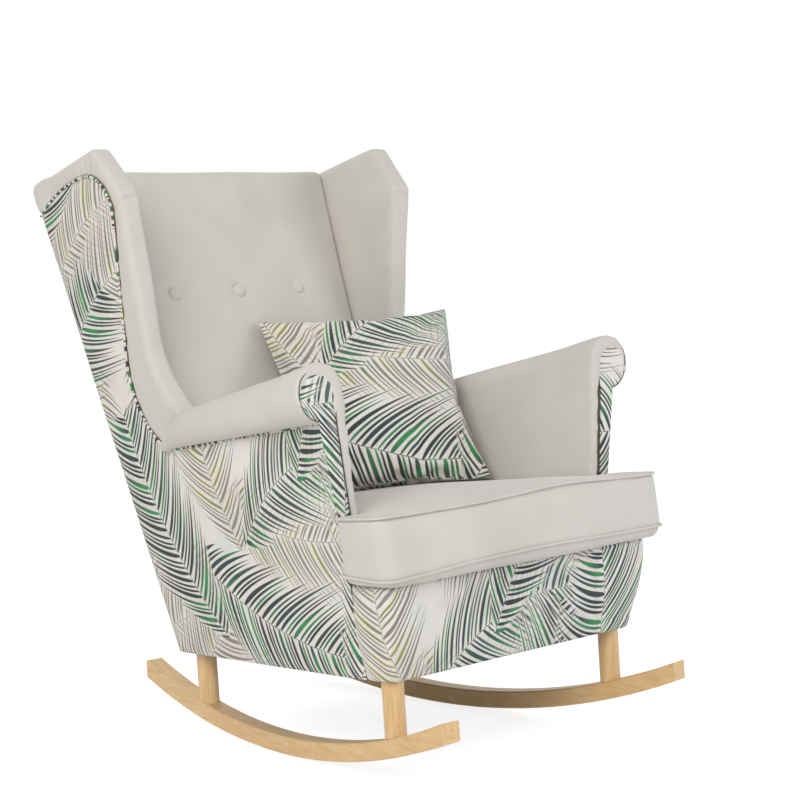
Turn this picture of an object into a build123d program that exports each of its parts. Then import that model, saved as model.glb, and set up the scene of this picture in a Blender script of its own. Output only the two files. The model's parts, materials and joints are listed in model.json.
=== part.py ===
"""Rocking wing armchair: beech rockers and legs under an upholstered board-and-rail frame.

The chair is drawn level, with z = 0 at the underside of the base, +Y to the rear and +X to the right of
someone who faces the chair. The finished pieces are then tipped back together to the angle at which the
chair comes to rest on its rockers. All lengths are in millimetres and all angles in degrees.
"""
import math
import os

from build123d import *

os.makedirs("parts", exist_ok=True)

# Stance and running gear
REST_TILT = 4.6
ROCKER_RADIUS = 1250
ROCKER_FRONT = 415
ROCKER_REAR = 458
ROCKER_WIDTH = 36
ROCKER_THICKNESS = 31
ROCKER_DROP = 155
ROCKER_TOE_IN = 7.6
ROCKER_INSET = 34
ROCKER_EDGE_BEVEL = 2
LEG_SPACING = 545
LEG_DIAMETER = 36
LEG_SEAT_GAP = 0.2
BOLT_DIAMETER = 8
BOLT_IN_LEG = 40
INSERT_DIAMETER = 14
INSERT_LENGTH = 18
SCREW_DIAMETER = 5
SCREW_LENGTH = 62
SCREW_HEAD_DIAMETER = 10
SCREW_HEAD_HEIGHT = 4
SCREW_HEAD_RECESS = 6
FASTENER_GAP = 0.2

# Outer body: half width at mid depth, plan taper, sideways flare and rearward rake of the outer faces
BASE_HALF_WIDTH = 266
SIDE_TAPER = 6
SIDE_FLARE = 8
BACK_RAKE = 13.3
BASE_FRONT = -300
BASE_REAR = 303
BASE_HEIGHT = 157
APRON_TOP_FRONT = -330
APRON_CORNER_ROUND = 34
APRON_EDGE_ROUND = 14
APRON_CORNER_CLEARANCE = 20
COVER_THICKNESS = 5
DUST_COVER = 1
DUST_COVER_INSET = 16

# Frame boards and rails
BOARD_THICKNESS = 16
RAIL_THICKNESS = 22
RAIL_TOP = 130
FRONT_RAIL_FACE = -292
LEG_BOARD_THICKNESS = 22
LEG_BOARD_WIDTH = 70
POST_WIDTH = 30
POST_FOOT_DEPTH = 100
POST_TOP_DEPTH = 45
POST_TOP = 800
BACK_COVER_TOP = POST_TOP - 3
TOP_RAIL_HEIGHT = 70
LOWER_RAIL_BOTTOM = 230
LOWER_RAIL_HEIGHT = 60
CORNER_BLOCK_LEG = 80
CORNER_BLOCK_HEIGHT = 45
ARM_RAIL_HEIGHT = 38

# Seat springs, their clips and the deck pad
SPRING_COUNT = 5
SPRING_SPACING = 80
SPRING_WIDTH = 46
SPRING_PITCH = 38
SPRING_WIRE = 4
CLIP_SHEET = 1.5
CLIP_WIDTH = 18
CLIP_DEPTH = 12
DECK_GAP = 0.5
DECK_SIDE_GAP = 4

# Back webbing
BAND_COUNT = 5
BAND_WIDTH = 50
BAND_THICKNESS = 2
BAND_BOTTOM = 330
BAND_STEP = 78
BAND_INSET = 46

# Arms: a roll that narrows to the rear, over a padded inner face
ARM_FRONT = -242
ARM_REAR = 215
ARM_FOOT_FRONT = BASE_HALF_WIDTH + 8
ARM_FOOT_REAR = BASE_HALF_WIDTH - 33
ROLL_RADIUS_FRONT = 47
ROLL_RADIUS_REAR = 28
ROLL_SEAM_FRONT = 417
ROLL_SEAM_REAR = 367
ROLL_OVERHANG = 3
FACING_INSET = 9
FACING_BOARD = 16
PANEL_THICKNESS = 6
PANEL_INNER_BORDER = 22
PANEL_TOP_BORDER = 20
PANEL_OUTER_BORDER = 5

# Wings: side outline, inner face and the border band that wraps the edge
WING_FRONT = 223
WING_SWEEP_TOP = 560
WING_SWEEP_MIDDLE = (203, 488)
WING_TIP = (151, 427)
WING_FRONT_TOP = POST_TOP + 15
WING_PEAK = (285, POST_TOP + 96)
WING_REAR_TOP = POST_TOP + 46
WING_CORNER_ROUND = 14
WING_EDGE_ROUND = 11
WING_INNER_LEAN = 6.45
WING_INNER_AT_FOOT = BASE_HALF_WIDTH - 51.4
WING_EDGE_PADDING = 27
BORDER_FRONT_TOP = (250, POST_TOP - 15)
BORDER_ARCH_FRONT = (270, POST_TOP + 30)
BORDER_ARCH_TOP = (320, POST_TOP + 48)
BORDER_ARCH_REAR = (400, POST_TOP + 32)
BORDER_REAR_TOP = POST_TOP - 8
BORDER_SWEEP_TOP = (291, 535)
BORDER_SWEEP_MIDDLE = (272, 424)

# Inner back: raked front face with a crown and three sewn tufts
INNER_BACK_RAKE = 18.9
INNER_BACK_AT_FOOT = 127.5
BACK_CROWN_FOOT = 6
BACK_CROWN_LUMBAR = 16
BACK_CROWN_TUFTS = 15
BACK_CROWN_TOP = 8
BACK_LUMBAR_HEIGHT = 400
BACK_TOP = POST_TOP + 63
BACK_TOP_ROUND = 16
SOFT_GAP = 0.4
TUFT_HEIGHT = POST_TOP - 163
TUFT_SPACING = 151
TUFT_DEPTH = 9
TUFT_SLOPE_WIDTH = 34
TUFT_BUTTON_GAP = 1
BUTTON_DIAMETER = 25
BUTTON_HEIGHT = 8
BUTTON_ROUND = 3.5

# Seat cushion: T-shaped, with ears in front of the arms
CUSHION_LOWER_SEAM = 182
CUSHION_WAIST = 226
CUSHION_UPPER_SEAM = 268
CUSHION_SHOULDER = 277
CUSHION_TOP = 282
CUSHION_CROWN_TOP = 286
CUSHION_TOP_SLOPE = 2
CUSHION_UPPER_HALF_WIDTH = BASE_HALF_WIDTH + 80
CUSHION_LOWER_HALF_WIDTH = BASE_HALF_WIDTH + 73
CUSHION_UPPER_FRONT = -342
CUSHION_LOWER_FRONT = -356
CUSHION_REAR = 165
CUSHION_FRONT_BOW = 9
CUSHION_CORNER_ROUND = 42
CUSHION_REAR_ROUND = 40
CUSHION_SIDE_GAP = 3
CUSHION_BOTTOM_INSET = 14
CUSHION_WAIST_INSET = 4
CUSHION_SHOULDER_INSET = 16
CUSHION_TOP_INSET = 32
CROWN_EDGE_INSET = 48
CROWN_TOP_INSET = 140

# Throw pillow, leaning in the corner of the back and the arm at +X
PILLOW_SIZE = 368
PILLOW_HALF_DEPTH = 58
PILLOW_SHOULDER_DEPTH = 38
PILLOW_SHOULDER_INSET = 40
PILLOW_FACE_INSET = 104
PILLOW_SIDE_DRAW = 13
PILLOW_SHOULDER_DRAW = 4
PILLOW_FACE_DRAW = -10
PILLOW_YAW = 28.5
PILLOW_LEAN = 33
PILLOW_CENTRE = (BASE_HALF_WIDTH - 149, 122, 424.6)

# Slopes of the leaning faces, as run over rise
TAPER = math.tan(math.radians(SIDE_TAPER))
FLARE = math.tan(math.radians(SIDE_FLARE))
RAKE = math.tan(math.radians(BACK_RAKE))
INNER_RAKE = math.tan(math.radians(INNER_BACK_RAKE))
INNER_LEAN = math.tan(math.radians(WING_INNER_LEAN))
TOE_IN = math.tan(math.radians(ROCKER_TOE_IN))
SIDE_STRETCH = math.sqrt(1 + TAPER**2 + FLARE**2)
DIAGONAL = math.sqrt(0.5)

# Levels and depths that follow from the sizes above
BOARD_INNER = COVER_THICKNESS + BOARD_THICKNESS
RAIL_INNER = BOARD_INNER + RAIL_THICKNESS
POST_INNER = BOARD_INNER + POST_WIDTH
FRAME_BOTTOM = DUST_COVER + LEG_BOARD_THICKNESS
FACING_FRONT = ARM_FRONT + PANEL_THICKNESS
FACING_REAR = FACING_FRONT + FACING_BOARD
ARC_CENTRE = ROCKER_RADIUS - ROCKER_DROP
ROCKER_HALF_SPREAD = BASE_HALF_WIDTH - ROCKER_INSET
CUSHION_BOTTOM = BASE_HEIGHT + SOFT_GAP
SPRING_BOTTOM = RAIL_TOP + CLIP_SHEET
DECK_BOTTOM = SPRING_BOTTOM + SPRING_WIRE + CLIP_SHEET + DECK_GAP
REACH = 2 * BASE_HALF_WIDTH
LEG_PLACES = [(ROCKER_HALF_SPREAD - TOE_IN * y, y) for y in (-LEG_SPACING / 2, LEG_SPACING / 2)]

pieces = {}


def outer_x(y, z, depth=0.0):
    """Half width of the body at a place on the side, measured to a layer that lies depth inside it."""
    return BASE_HALF_WIDTH - TAPER * y + FLARE * z - SIDE_STRETCH * depth


def rear_y(z, depth=0.0):
    """Rear of the body at a height, or of a layer that lies depth in front of it."""
    return BASE_REAR + RAKE * z - depth


def frame_rear_y(z):
    """Rear of the wooden frame at a height, under the outer cover."""
    return rear_y(z, COVER_THICKNESS)


def post_front_y(z):
    """Front of the back posts at a height: they are deep at the foot and slim at the top."""
    rise = (z - FRAME_BOTTOM) / (POST_TOP - FRAME_BOTTOM)
    return frame_rear_y(z) - POST_FOOT_DEPTH - (POST_TOP_DEPTH - POST_FOOT_DEPTH) * rise


def rail_rear_y(z):
    """Rear of the cross rails at a height, their fronts being flush with the posts."""
    return post_front_y(z) + RAIL_THICKNESS


def band_front_y(z):
    """Front of the webbing at a height, where it crosses the posts."""
    return post_front_y(z) - BAND_THICKNESS


def inner_back_y(z):
    """Front of the padded back at a height, along its side seams."""
    return INNER_BACK_AT_FOOT + INNER_RAKE * z


def wing_inner_x(z):
    """Half the clear width between the padded wings at a height."""
    return WING_INNER_AT_FOOT + INNER_LEAN * z


def along_arm(y, at_front, at_rear):
    """A size that changes evenly from the arm's front to its rear."""
    return at_front + (at_rear - at_front) * (y - ARM_FRONT) / (ARM_REAR - ARM_FRONT)


def roll_seam_z(y):
    """Height of the seam under the arm roll."""
    return along_arm(y, ROLL_SEAM_FRONT, ROLL_SEAM_REAR)


def outer_face(depth):
    """Plane of the side at +X, moved depth inwards. Its normal points out of the chair."""
    origin = (outer_x(0, 0, depth), 0, 0)
    return Plane(origin=origin, x_dir=(-TAPER, 1, 0), z_dir=(1, TAPER, -FLARE))


def inner_wing_face():
    """Plane of the wing's inner face at +X. Its normal points out of the chair."""
    return Plane(origin=(WING_INNER_AT_FOOT, 0, 0), x_dir=(0, 1, 0), z_dir=(1, 0, -INNER_LEAN))


def rocker_plane():
    """Upright plane through the middle of the rocker at +X, with its local x to the rear."""
    return Plane(origin=(ROCKER_HALF_SPREAD, 0, 0), x_dir=(-TOE_IN, 1, 0), z_dir=(1, TOE_IN, 0))


def upright_section(y):
    """Upright cross-section plane of the chair at a depth, with local x to +X and local y up."""
    return Plane.XZ.offset(-y)


def keep_between(outer_depth, inner_depth):
    """Trims the part being built to a layer of the side at +X."""
    split(bisect_by=outer_face(outer_depth), keep=Keep.BOTTOM)
    split(bisect_by=outer_face(inner_depth), keep=Keep.TOP)


def side_profile(points):
    """A flat outline in side view, of straight edges, swept across the half of the chair at +X."""
    with BuildSketch(Plane.YZ) as profile:
        with BuildLine():
            Polyline(*points, close=True)
        make_face()
    extrude(profile.sketch, amount=REACH)


def keep(name, part):
    pieces[name] = part


def keep_pair(name, part):
    """Keeps a piece of the side at +X with its mirror image. Left and right are the viewer's."""
    pieces[f"{name}_right"] = part
    pieces[f"{name}_left"] = mirror(part, about=Plane.YZ)


# Rockers: one bent strip each side, bored from below for the screws that hold the legs
def rocker_underside(y):
    """Height of the rocker's lower face under a point of its middle line at depth y."""
    along = y * math.sqrt(1 + TOE_IN**2)
    return ARC_CENTRE - math.sqrt(ROCKER_RADIUS**2 - along**2)


def rocker_end(along):
    """Upright plane across the rocker at +X, facing the rear, where an end of the bent strip is cut."""
    plane = rocker_plane()
    return Plane(origin=plane.from_local_coords((along, 0, 0)), z_dir=plane.x_dir)


with BuildPart() as rocker:
    blank_reach = max(ROCKER_FRONT, ROCKER_REAR) + ROCKER_THICKNESS
    half_angle = math.degrees(math.asin(blank_reach / ROCKER_RADIUS))
    with BuildSketch(rocker_plane()):
        with BuildLine():
            lower = CenterArc((0, ARC_CENTRE), ROCKER_RADIUS, -90 - half_angle, 2 * half_angle)
            inner_radius = ROCKER_RADIUS - ROCKER_THICKNESS
            upper = CenterArc((0, ARC_CENTRE), inner_radius, -90 - half_angle, 2 * half_angle)
            Line(lower @ 0, upper @ 0)
            Line(lower @ 1, upper @ 1)
        make_face()
    extrude(amount=ROCKER_WIDTH / 2, both=True)
    long_edges = rocker.edges().sort_by(SortBy.LENGTH)[-4:]
    chamfer(long_edges, ROCKER_EDGE_BEVEL)
    split(bisect_by=rocker_end(-ROCKER_FRONT), keep=Keep.TOP)
    split(bisect_by=rocker_end(ROCKER_REAR), keep=Keep.BOTTOM)
    for place in LEG_PLACES:
        head_seat = rocker_underside(place[1]) + SCREW_HEAD_RECESS + SCREW_HEAD_HEIGHT
        with BuildSketch(Plane.XY.offset(head_seat)):
            with Locations(place):
                Circle(SCREW_HEAD_DIAMETER / 2 + FASTENER_GAP)
        extrude(amount=-ROCKER_THICKNESS, mode=Mode.SUBTRACT)
        with BuildSketch(Plane.XY.offset(head_seat)):
            with Locations(place):
                Circle(SCREW_DIAMETER / 2 + FASTENER_GAP)
        extrude(amount=ROCKER_THICKNESS, mode=Mode.SUBTRACT)
keep_pair("rocker", rocker.part)


# Legs: turned dowels whose feet are coped to the rocker's upper curve
def turned_leg(place):
    screw_tip = rocker_underside(place[1]) + SCREW_HEAD_RECESS + SCREW_LENGTH
    with BuildPart() as leg:
        with BuildSketch(Plane.XY.offset(DUST_COVER)):
            with Locations(place):
                Circle(LEG_DIAMETER / 2)
        extrude(amount=-ROCKER_DROP)
        with BuildSketch(rocker_plane()):
            with Locations((0, ARC_CENTRE)):
                Circle(ROCKER_RADIUS - ROCKER_THICKNESS - LEG_SEAT_GAP)
        extrude(amount=LEG_DIAMETER, both=True, mode=Mode.INTERSECT)
        with BuildSketch(Plane.XY.offset(DUST_COVER)):
            with Locations(place):
                Circle(BOLT_DIAMETER / 2 + FASTENER_GAP)
        extrude(amount=-BOLT_IN_LEG, mode=Mode.SUBTRACT)
        with BuildSketch(Plane.XY.offset(screw_tip)):
            with Locations(place):
                Circle(SCREW_DIAMETER / 2 + FASTENER_GAP)
        extrude(amount=-SCREW_LENGTH, mode=Mode.SUBTRACT)
    return leg.part


keep_pair("leg_front", turned_leg(LEG_PLACES[0]))
keep_pair("leg_rear", turned_leg(LEG_PLACES[1]))

with BuildPart() as rocker_screws:
    for place in LEG_PLACES:
        head_bottom = rocker_underside(place[1]) + SCREW_HEAD_RECESS
        with BuildSketch(Plane.XY.offset(head_bottom)):
            with Locations(place):
                Circle(SCREW_HEAD_DIAMETER / 2)
        extrude(amount=SCREW_HEAD_HEIGHT)
        with BuildSketch(Plane.XY.offset(head_bottom + SCREW_HEAD_HEIGHT)):
            with Locations(place):
                Circle(SCREW_DIAMETER / 2)
        extrude(amount=SCREW_LENGTH - SCREW_HEAD_HEIGHT)
    mirror(about=Plane.YZ)
keep("rocker_screws", rocker_screws.part)

with BuildPart() as leg_bolts:
    with BuildSketch(Plane.XY.offset(DUST_COVER - BOLT_IN_LEG)):
        with Locations(*LEG_PLACES):
            Circle(BOLT_DIAMETER / 2)
    extrude(amount=BOLT_IN_LEG + INSERT_LENGTH)
    mirror(about=Plane.YZ)
keep("leg_bolts", leg_bolts.part)

with BuildPart() as leg_inserts:
    with BuildSketch(Plane.XY.offset(DUST_COVER)):
        with Locations(*LEG_PLACES):
            Circle(INSERT_DIAMETER / 2)
            Circle(BOLT_DIAMETER / 2 + FASTENER_GAP, mode=Mode.SUBTRACT)
    extrude(amount=INSERT_LENGTH)
    mirror(about=Plane.YZ)
keep("leg_inserts", leg_inserts.part)


# Seat frame: flat boards that take the legs, with four rails standing on them
def leg_board(front, rear, place):
    with BuildPart() as board:
        side_profile([(front, DUST_COVER), (rear, DUST_COVER), (rear, FRAME_BOTTOM), (front, FRAME_BOTTOM)])
        split(bisect_by=outer_face(COVER_THICKNESS), keep=Keep.BOTTOM)
        with BuildSketch(Plane.XY.offset(DUST_COVER)):
            with Locations(place):
                Circle(INSERT_DIAMETER / 2 + FASTENER_GAP)
        extrude(amount=INSERT_LENGTH, mode=Mode.SUBTRACT)
        mirror(about=Plane.YZ)
    return board.part


rear_board_edge = frame_rear_y(0)
keep("leg_board_front", leg_board(FRONT_RAIL_FACE, FRONT_RAIL_FACE + LEG_BOARD_WIDTH, LEG_PLACES[0]))
keep("leg_board_rear", leg_board(rear_board_edge - LEG_BOARD_WIDTH, rear_board_edge, LEG_PLACES[1]))

with BuildPart() as front_rail:
    rail_rear = FRONT_RAIL_FACE + RAIL_THICKNESS
    corners = [(FRONT_RAIL_FACE, FRAME_BOTTOM), (rail_rear, FRAME_BOTTOM), (rail_rear, RAIL_TOP),
               (FRONT_RAIL_FACE, RAIL_TOP)]
    side_profile(corners)
    split(bisect_by=outer_face(BOARD_INNER), keep=Keep.BOTTOM)
    mirror(about=Plane.YZ)
keep("seat_front_rail", front_rail.part)

with BuildPart() as side_rail:
    rail_front = FRONT_RAIL_FACE + RAIL_THICKNESS
    side_profile([(rail_front, FRAME_BOTTOM), (post_front_y(FRAME_BOTTOM), FRAME_BOTTOM),
                  (post_front_y(RAIL_TOP), RAIL_TOP), (rail_front, RAIL_TOP)])
    keep_between(BOARD_INNER, RAIL_INNER)
keep_pair("seat_side_rail", side_rail.part)


def raked_layer(bottom, top, front_at, rear_at):
    """Side view of a raked layer of the back between two heights."""
    return [(front_at(bottom), bottom), (rear_at(bottom), bottom), (rear_at(top), top), (front_at(top), top)]


def cross_rail(bottom, top):
    with BuildPart() as rail:
        side_profile(raked_layer(bottom, top, post_front_y, rail_rear_y))
        split(bisect_by=outer_face(POST_INNER), keep=Keep.BOTTOM)
        mirror(about=Plane.YZ)
    return rail.part


keep("seat_rear_rail", cross_rail(FRAME_BOTTOM, RAIL_TOP))
keep("back_lower_rail", cross_rail(LOWER_RAIL_BOTTOM, LOWER_RAIL_BOTTOM + LOWER_RAIL_HEIGHT))
keep("back_top_rail", cross_rail(POST_TOP - TOP_RAIL_HEIGHT, POST_TOP))

with BuildPart() as back_post:
    side_profile(raked_layer(FRAME_BOTTOM, POST_TOP, post_front_y, frame_rear_y))
    keep_between(BOARD_INNER, POST_INNER)
keep_pair("back_post", back_post.part)

with BuildPart() as corner_blocks:
    front_corner = FRONT_RAIL_FACE + RAIL_THICKNESS
    rear_corner = post_front_y(FRAME_BOTTOM)
    block_top = FRAME_BOTTOM + CORNER_BLOCK_HEIGHT
    for corner, turn in ((front_corner, 1), (rear_corner, -1)):
        inside = outer_x(corner, FRAME_BOTTOM, RAIL_INNER) - CORNER_BLOCK_LEG
        outside = outer_x(corner, block_top)
        with BuildSketch(Plane.XY.offset(FRAME_BOTTOM)):
            with BuildLine():
                Polyline((inside, corner), (outside, corner),
                         (outside, corner + turn * (outside - inside)), close=True)
            make_face()
        extrude(amount=CORNER_BLOCK_HEIGHT)
    split(bisect_by=outer_face(RAIL_INNER), keep=Keep.BOTTOM)
    mirror(about=Plane.YZ)
keep("corner_blocks", corner_blocks.part)

# Seat springs: flat zigzags of wire from the front rail to the rear rail, hooked into folded clips
FRONT_CLIP = FRONT_RAIL_FACE + RAIL_THICKNESS / 2
REAR_CLIP = post_front_y(RAIL_TOP) + CLIP_DEPTH
SPRING_PLACES = [(i - (SPRING_COUNT - 1) / 2) * SPRING_SPACING for i in range(SPRING_COUNT)]

with BuildPart() as seat_springs:
    turns = round((REAR_CLIP - FRONT_CLIP) / SPRING_PITCH)
    pitch = (REAR_CLIP - FRONT_CLIP) / turns
    reach = (SPRING_WIDTH - pitch) / 2
    for middle in SPRING_PLACES:
        with BuildSketch(Plane.XY.offset(SPRING_BOTTOM)):
            with BuildLine():
                for i in range(turns):
                    side = 1 if i % 2 == 0 else -1
                    y = FRONT_CLIP + i * pitch
                    Line((middle - side * reach, y), (middle + side * reach, y))
                    bend = (middle + side * (reach + pitch / 2), y + pitch / 2)
                    ThreePointArc((middle + side * reach, y), bend, (middle + side * reach, y + pitch))
                last = 1 if turns % 2 == 0 else -1
                Line((middle - last * reach, REAR_CLIP), (middle + last * reach, REAR_CLIP))
            trace(line_width=SPRING_WIRE)
        extrude(amount=SPRING_WIRE)
keep("seat_springs", seat_springs.part)

with BuildPart() as spring_clips:
    half_wire = SPRING_WIRE / 2 + FASTENER_GAP
    lip = SPRING_BOTTOM + SPRING_WIRE
    for middle in SPRING_PLACES:
        for at, turn in ((FRONT_CLIP, 1), (REAR_CLIP, -1)):
            with BuildSketch(Plane.YZ.offset(middle - CLIP_WIDTH / 2)):
                with BuildLine():
                    Polyline((at + turn * CLIP_DEPTH / 2, RAIL_TOP),
                             (at - turn * (half_wire + CLIP_SHEET), RAIL_TOP),
                             (at - turn * (half_wire + CLIP_SHEET), lip + CLIP_SHEET),
                             (at + turn * half_wire, lip + CLIP_SHEET),
                             (at + turn * half_wire, lip),
                             (at - turn * half_wire, lip),
                             (at - turn * half_wire, SPRING_BOTTOM),
                             (at + turn * CLIP_DEPTH / 2, SPRING_BOTTOM), close=True)
                make_face()
            extrude(amount=CLIP_WIDTH)
keep("spring_clips", spring_clips.part)

# Deck pad over the springs: as wide as the seat between the arms, wider in front of them
with BuildPart() as seat_deck:
    deck_rear = band_front_y(DECK_BOTTOM) - DECK_SIDE_GAP
    neck_front = ARM_FRONT - DECK_SIDE_GAP
    foot_front = ARM_FOOT_FRONT - DECK_SIDE_GAP
    between_arms = along_arm(deck_rear, ARM_FOOT_FRONT, ARM_FOOT_REAR)
    foot_rear = min(between_arms, wing_inner_x(RAIL_TOP)) - DECK_SIDE_GAP
    ear = outer_x(neck_front, DECK_BOTTOM, BOARD_INNER) - DECK_SIDE_GAP
    with BuildSketch(Plane.XY.offset(DECK_BOTTOM)):
        with BuildLine():
            Polyline((0, FRONT_RAIL_FACE), (ear, FRONT_RAIL_FACE), (ear, neck_front),
                     (foot_front, neck_front), (foot_rear, deck_rear), (0, deck_rear), close=True)
        make_face()
    extrude(amount=BASE_HEIGHT - DECK_BOTTOM)
    mirror(about=Plane.YZ)
keep("seat_deck", seat_deck.part)

# Dust cover under the base, cut out round the legs
with BuildPart() as dust_cover:
    front_edge = FRONT_RAIL_FACE + DUST_COVER_INSET
    rear_edge = frame_rear_y(0) - DUST_COVER_INSET
    side_profile([(front_edge, 0), (rear_edge, 0), (rear_edge, DUST_COVER), (front_edge, DUST_COVER)])
    split(bisect_by=outer_face(COVER_THICKNESS + DUST_COVER_INSET), keep=Keep.BOTTOM)
    mirror(about=Plane.YZ)
    with BuildSketch(Plane.XY):
        with Locations(*LEG_PLACES, *[(-x, y) for x, y in LEG_PLACES]):
            Circle(LEG_DIAMETER / 2 + FASTENER_GAP)
    extrude(amount=DUST_COVER, mode=Mode.SUBTRACT)
keep("dust_cover", dust_cover.part)

# Side boards: the arm board carries the roll's rail, and the wing board rises behind it
with BuildPart() as arm_board:
    board_front = FRONT_RAIL_FACE + APRON_CORNER_CLEARANCE
    side_profile([(board_front, FRAME_BOTTOM), (ARM_REAR, FRAME_BOTTOM), (ARM_REAR, ROLL_SEAM_REAR),
                  (FACING_REAR, roll_seam_z(FACING_REAR)), (FACING_REAR, RAIL_TOP),
                  (board_front, RAIL_TOP)])
    keep_between(COVER_THICKNESS, BOARD_INNER)
keep_pair("arm_board", arm_board.part)

with BuildPart() as arm_rail:
    front_z = roll_seam_z(FACING_REAR)
    side_profile([(FACING_REAR, front_z), (ARM_REAR, ROLL_SEAM_REAR),
                  (ARM_REAR, ROLL_SEAM_REAR + ARM_RAIL_HEIGHT), (FACING_REAR, front_z + ARM_RAIL_HEIGHT)])
    keep_between(0, BOARD_INNER)
keep_pair("arm_rail", arm_rail.part)

with BuildPart() as wing_board:
    board_front = WING_FRONT + WING_EDGE_PADDING
    board_rear_top = WING_REAR_TOP - WING_EDGE_PADDING
    side_profile([(ARM_REAR, FRAME_BOTTOM), (frame_rear_y(FRAME_BOTTOM), FRAME_BOTTOM),
                  (frame_rear_y(board_rear_top), board_rear_top),
                  (WING_PEAK[0], WING_PEAK[1] - WING_EDGE_PADDING), (board_front, WING_FRONT_TOP),
                  (board_front, WING_SWEEP_TOP), (ARM_REAR, ROLL_SEAM_REAR)])
    keep_between(COVER_THICKNESS, BOARD_INNER)
keep_pair("wing_board", wing_board.part)


# Arm front: a shaped facing board, and the printed panel on its face
def arm_front_outline(front, foot_z, inner_inset, top_inset, outer_inset, side_depth):
    """Outline of the arm's front: straight inner edge, round head, and down the side of the body."""
    centre_x = outer_x(ARM_FRONT, ROLL_SEAM_FRONT) + ROLL_OVERHANG + (inner_inset - outer_inset) / 2
    radius = ROLL_RADIUS_FRONT - (inner_inset + outer_inset) / 2
    top = ROLL_SEAM_FRONT + 2 * ROLL_RADIUS_FRONT - top_inset
    centre_z = top - radius
    bottom = centre_z - radius
    slant = radius * DIAGONAL
    foot = (ARM_FOOT_FRONT + inner_inset, foot_z)
    with BuildSketch(upright_section(front)) as outline:
        with BuildLine():
            Line(foot, (centre_x - radius, centre_z))
            ThreePointArc((centre_x - radius, centre_z), (centre_x - slant, centre_z + slant),
                          (centre_x, top))
            ThreePointArc((centre_x, top), (centre_x + slant, centre_z + slant),
                          (centre_x + radius, centre_z))
            ThreePointArc((centre_x + radius, centre_z), (centre_x + slant, centre_z - slant),
                          (centre_x, bottom))
            Polyline((centre_x, bottom), (outer_x(FACING_REAR, bottom, side_depth), bottom),
                     (outer_x(FACING_REAR, foot_z, side_depth), foot_z), foot)
        make_face()
    return outline.sketch


with BuildPart() as facing_board:
    insets = (FACING_INSET, FACING_INSET, FACING_INSET)
    extrude(arm_front_outline(FACING_FRONT, RAIL_TOP, *insets, COVER_THICKNESS), amount=-FACING_BOARD)
keep_pair("arm_facing_board", facing_board.part)

with BuildPart() as front_panel:
    borders = (PANEL_INNER_BORDER, PANEL_TOP_BORDER, PANEL_OUTER_BORDER)
    extrude(arm_front_outline(ARM_FRONT, BASE_HEIGHT, *borders, 0), amount=-PANEL_THICKNESS)
keep_pair("arm_front_panel", front_panel.part)


# Wing outline in side view, shared by the padding and by the cut where the arm meets it
def wing_outline():
    rear_top = (rear_y(WING_REAR_TOP), WING_REAR_TOP)
    edge = [(WING_FRONT, WING_SWEEP_TOP), (WING_FRONT, WING_FRONT_TOP), WING_PEAK, rear_top,
            (rear_y(POST_TOP), POST_TOP)]
    with BuildSketch(Plane.YZ) as outline:
        with BuildLine():
            Polyline((ARM_REAR, RAIL_TOP), (ARM_REAR, ROLL_SEAM_REAR), WING_TIP)
            ThreePointArc(WING_TIP, WING_SWEEP_MIDDLE, (WING_FRONT, WING_SWEEP_TOP))
            FilletPolyline(*edge, radius=WING_CORNER_ROUND)
            Polyline((rear_y(POST_TOP), POST_TOP), (post_front_y(POST_TOP), POST_TOP),
                     (post_front_y(RAIL_TOP), RAIL_TOP), (ARM_REAR, RAIL_TOP))
        make_face()
    return outline.sketch


# Printed outer side: one flat cover from the base to the border band of the wing
with BuildPart() as outer_side:
    with BuildSketch(Plane.YZ):
        with BuildLine():
            seam_end = (ARM_REAR, ROLL_SEAM_REAR)
            rear_top = (frame_rear_y(BORDER_REAR_TOP), BORDER_REAR_TOP)
            Polyline(seam_end, (FACING_FRONT, roll_seam_z(FACING_FRONT)), (FACING_FRONT, 0),
                     (frame_rear_y(0), 0), rear_top)
            ThreePointArc(rear_top, BORDER_ARCH_REAR, BORDER_ARCH_TOP)
            ThreePointArc(BORDER_ARCH_TOP, BORDER_ARCH_FRONT, BORDER_FRONT_TOP)
            Line(BORDER_FRONT_TOP, BORDER_SWEEP_TOP)
            ThreePointArc(BORDER_SWEEP_TOP, BORDER_SWEEP_MIDDLE, seam_end)
        make_face()
    extrude(amount=REACH)
    keep_between(0, COVER_THICKNESS)
keep_pair("outer_side", outer_side.part)

# Wing padding: wraps the board's front and top edges, inside and out
with BuildPart() as wing_pad:
    extrude(wing_outline(), amount=REACH)
    split(bisect_by=outer_face(0), keep=Keep.BOTTOM)
    split(bisect_by=inner_wing_face(), keep=Keep.TOP)
    wing_faces = (outer_face(0), inner_wing_face())
    rim = [
        edge
        for edge in wing_pad.edges()
        if edge.center().Z > WING_TIP[1]
        and edge.center().Y < rear_y(edge.center().Z) - WING_EDGE_PADDING
        and any(abs(face.to_local_coords(edge.center()).Z) < SOFT_GAP for face in wing_faces)
    ]
    fillet(rim, WING_EDGE_ROUND)
    for inside in (wing_board, outer_side, arm_rail):
        add(inside.part, mode=Mode.SUBTRACT)
keep_pair("wing_pad", wing_pad.part)


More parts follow.
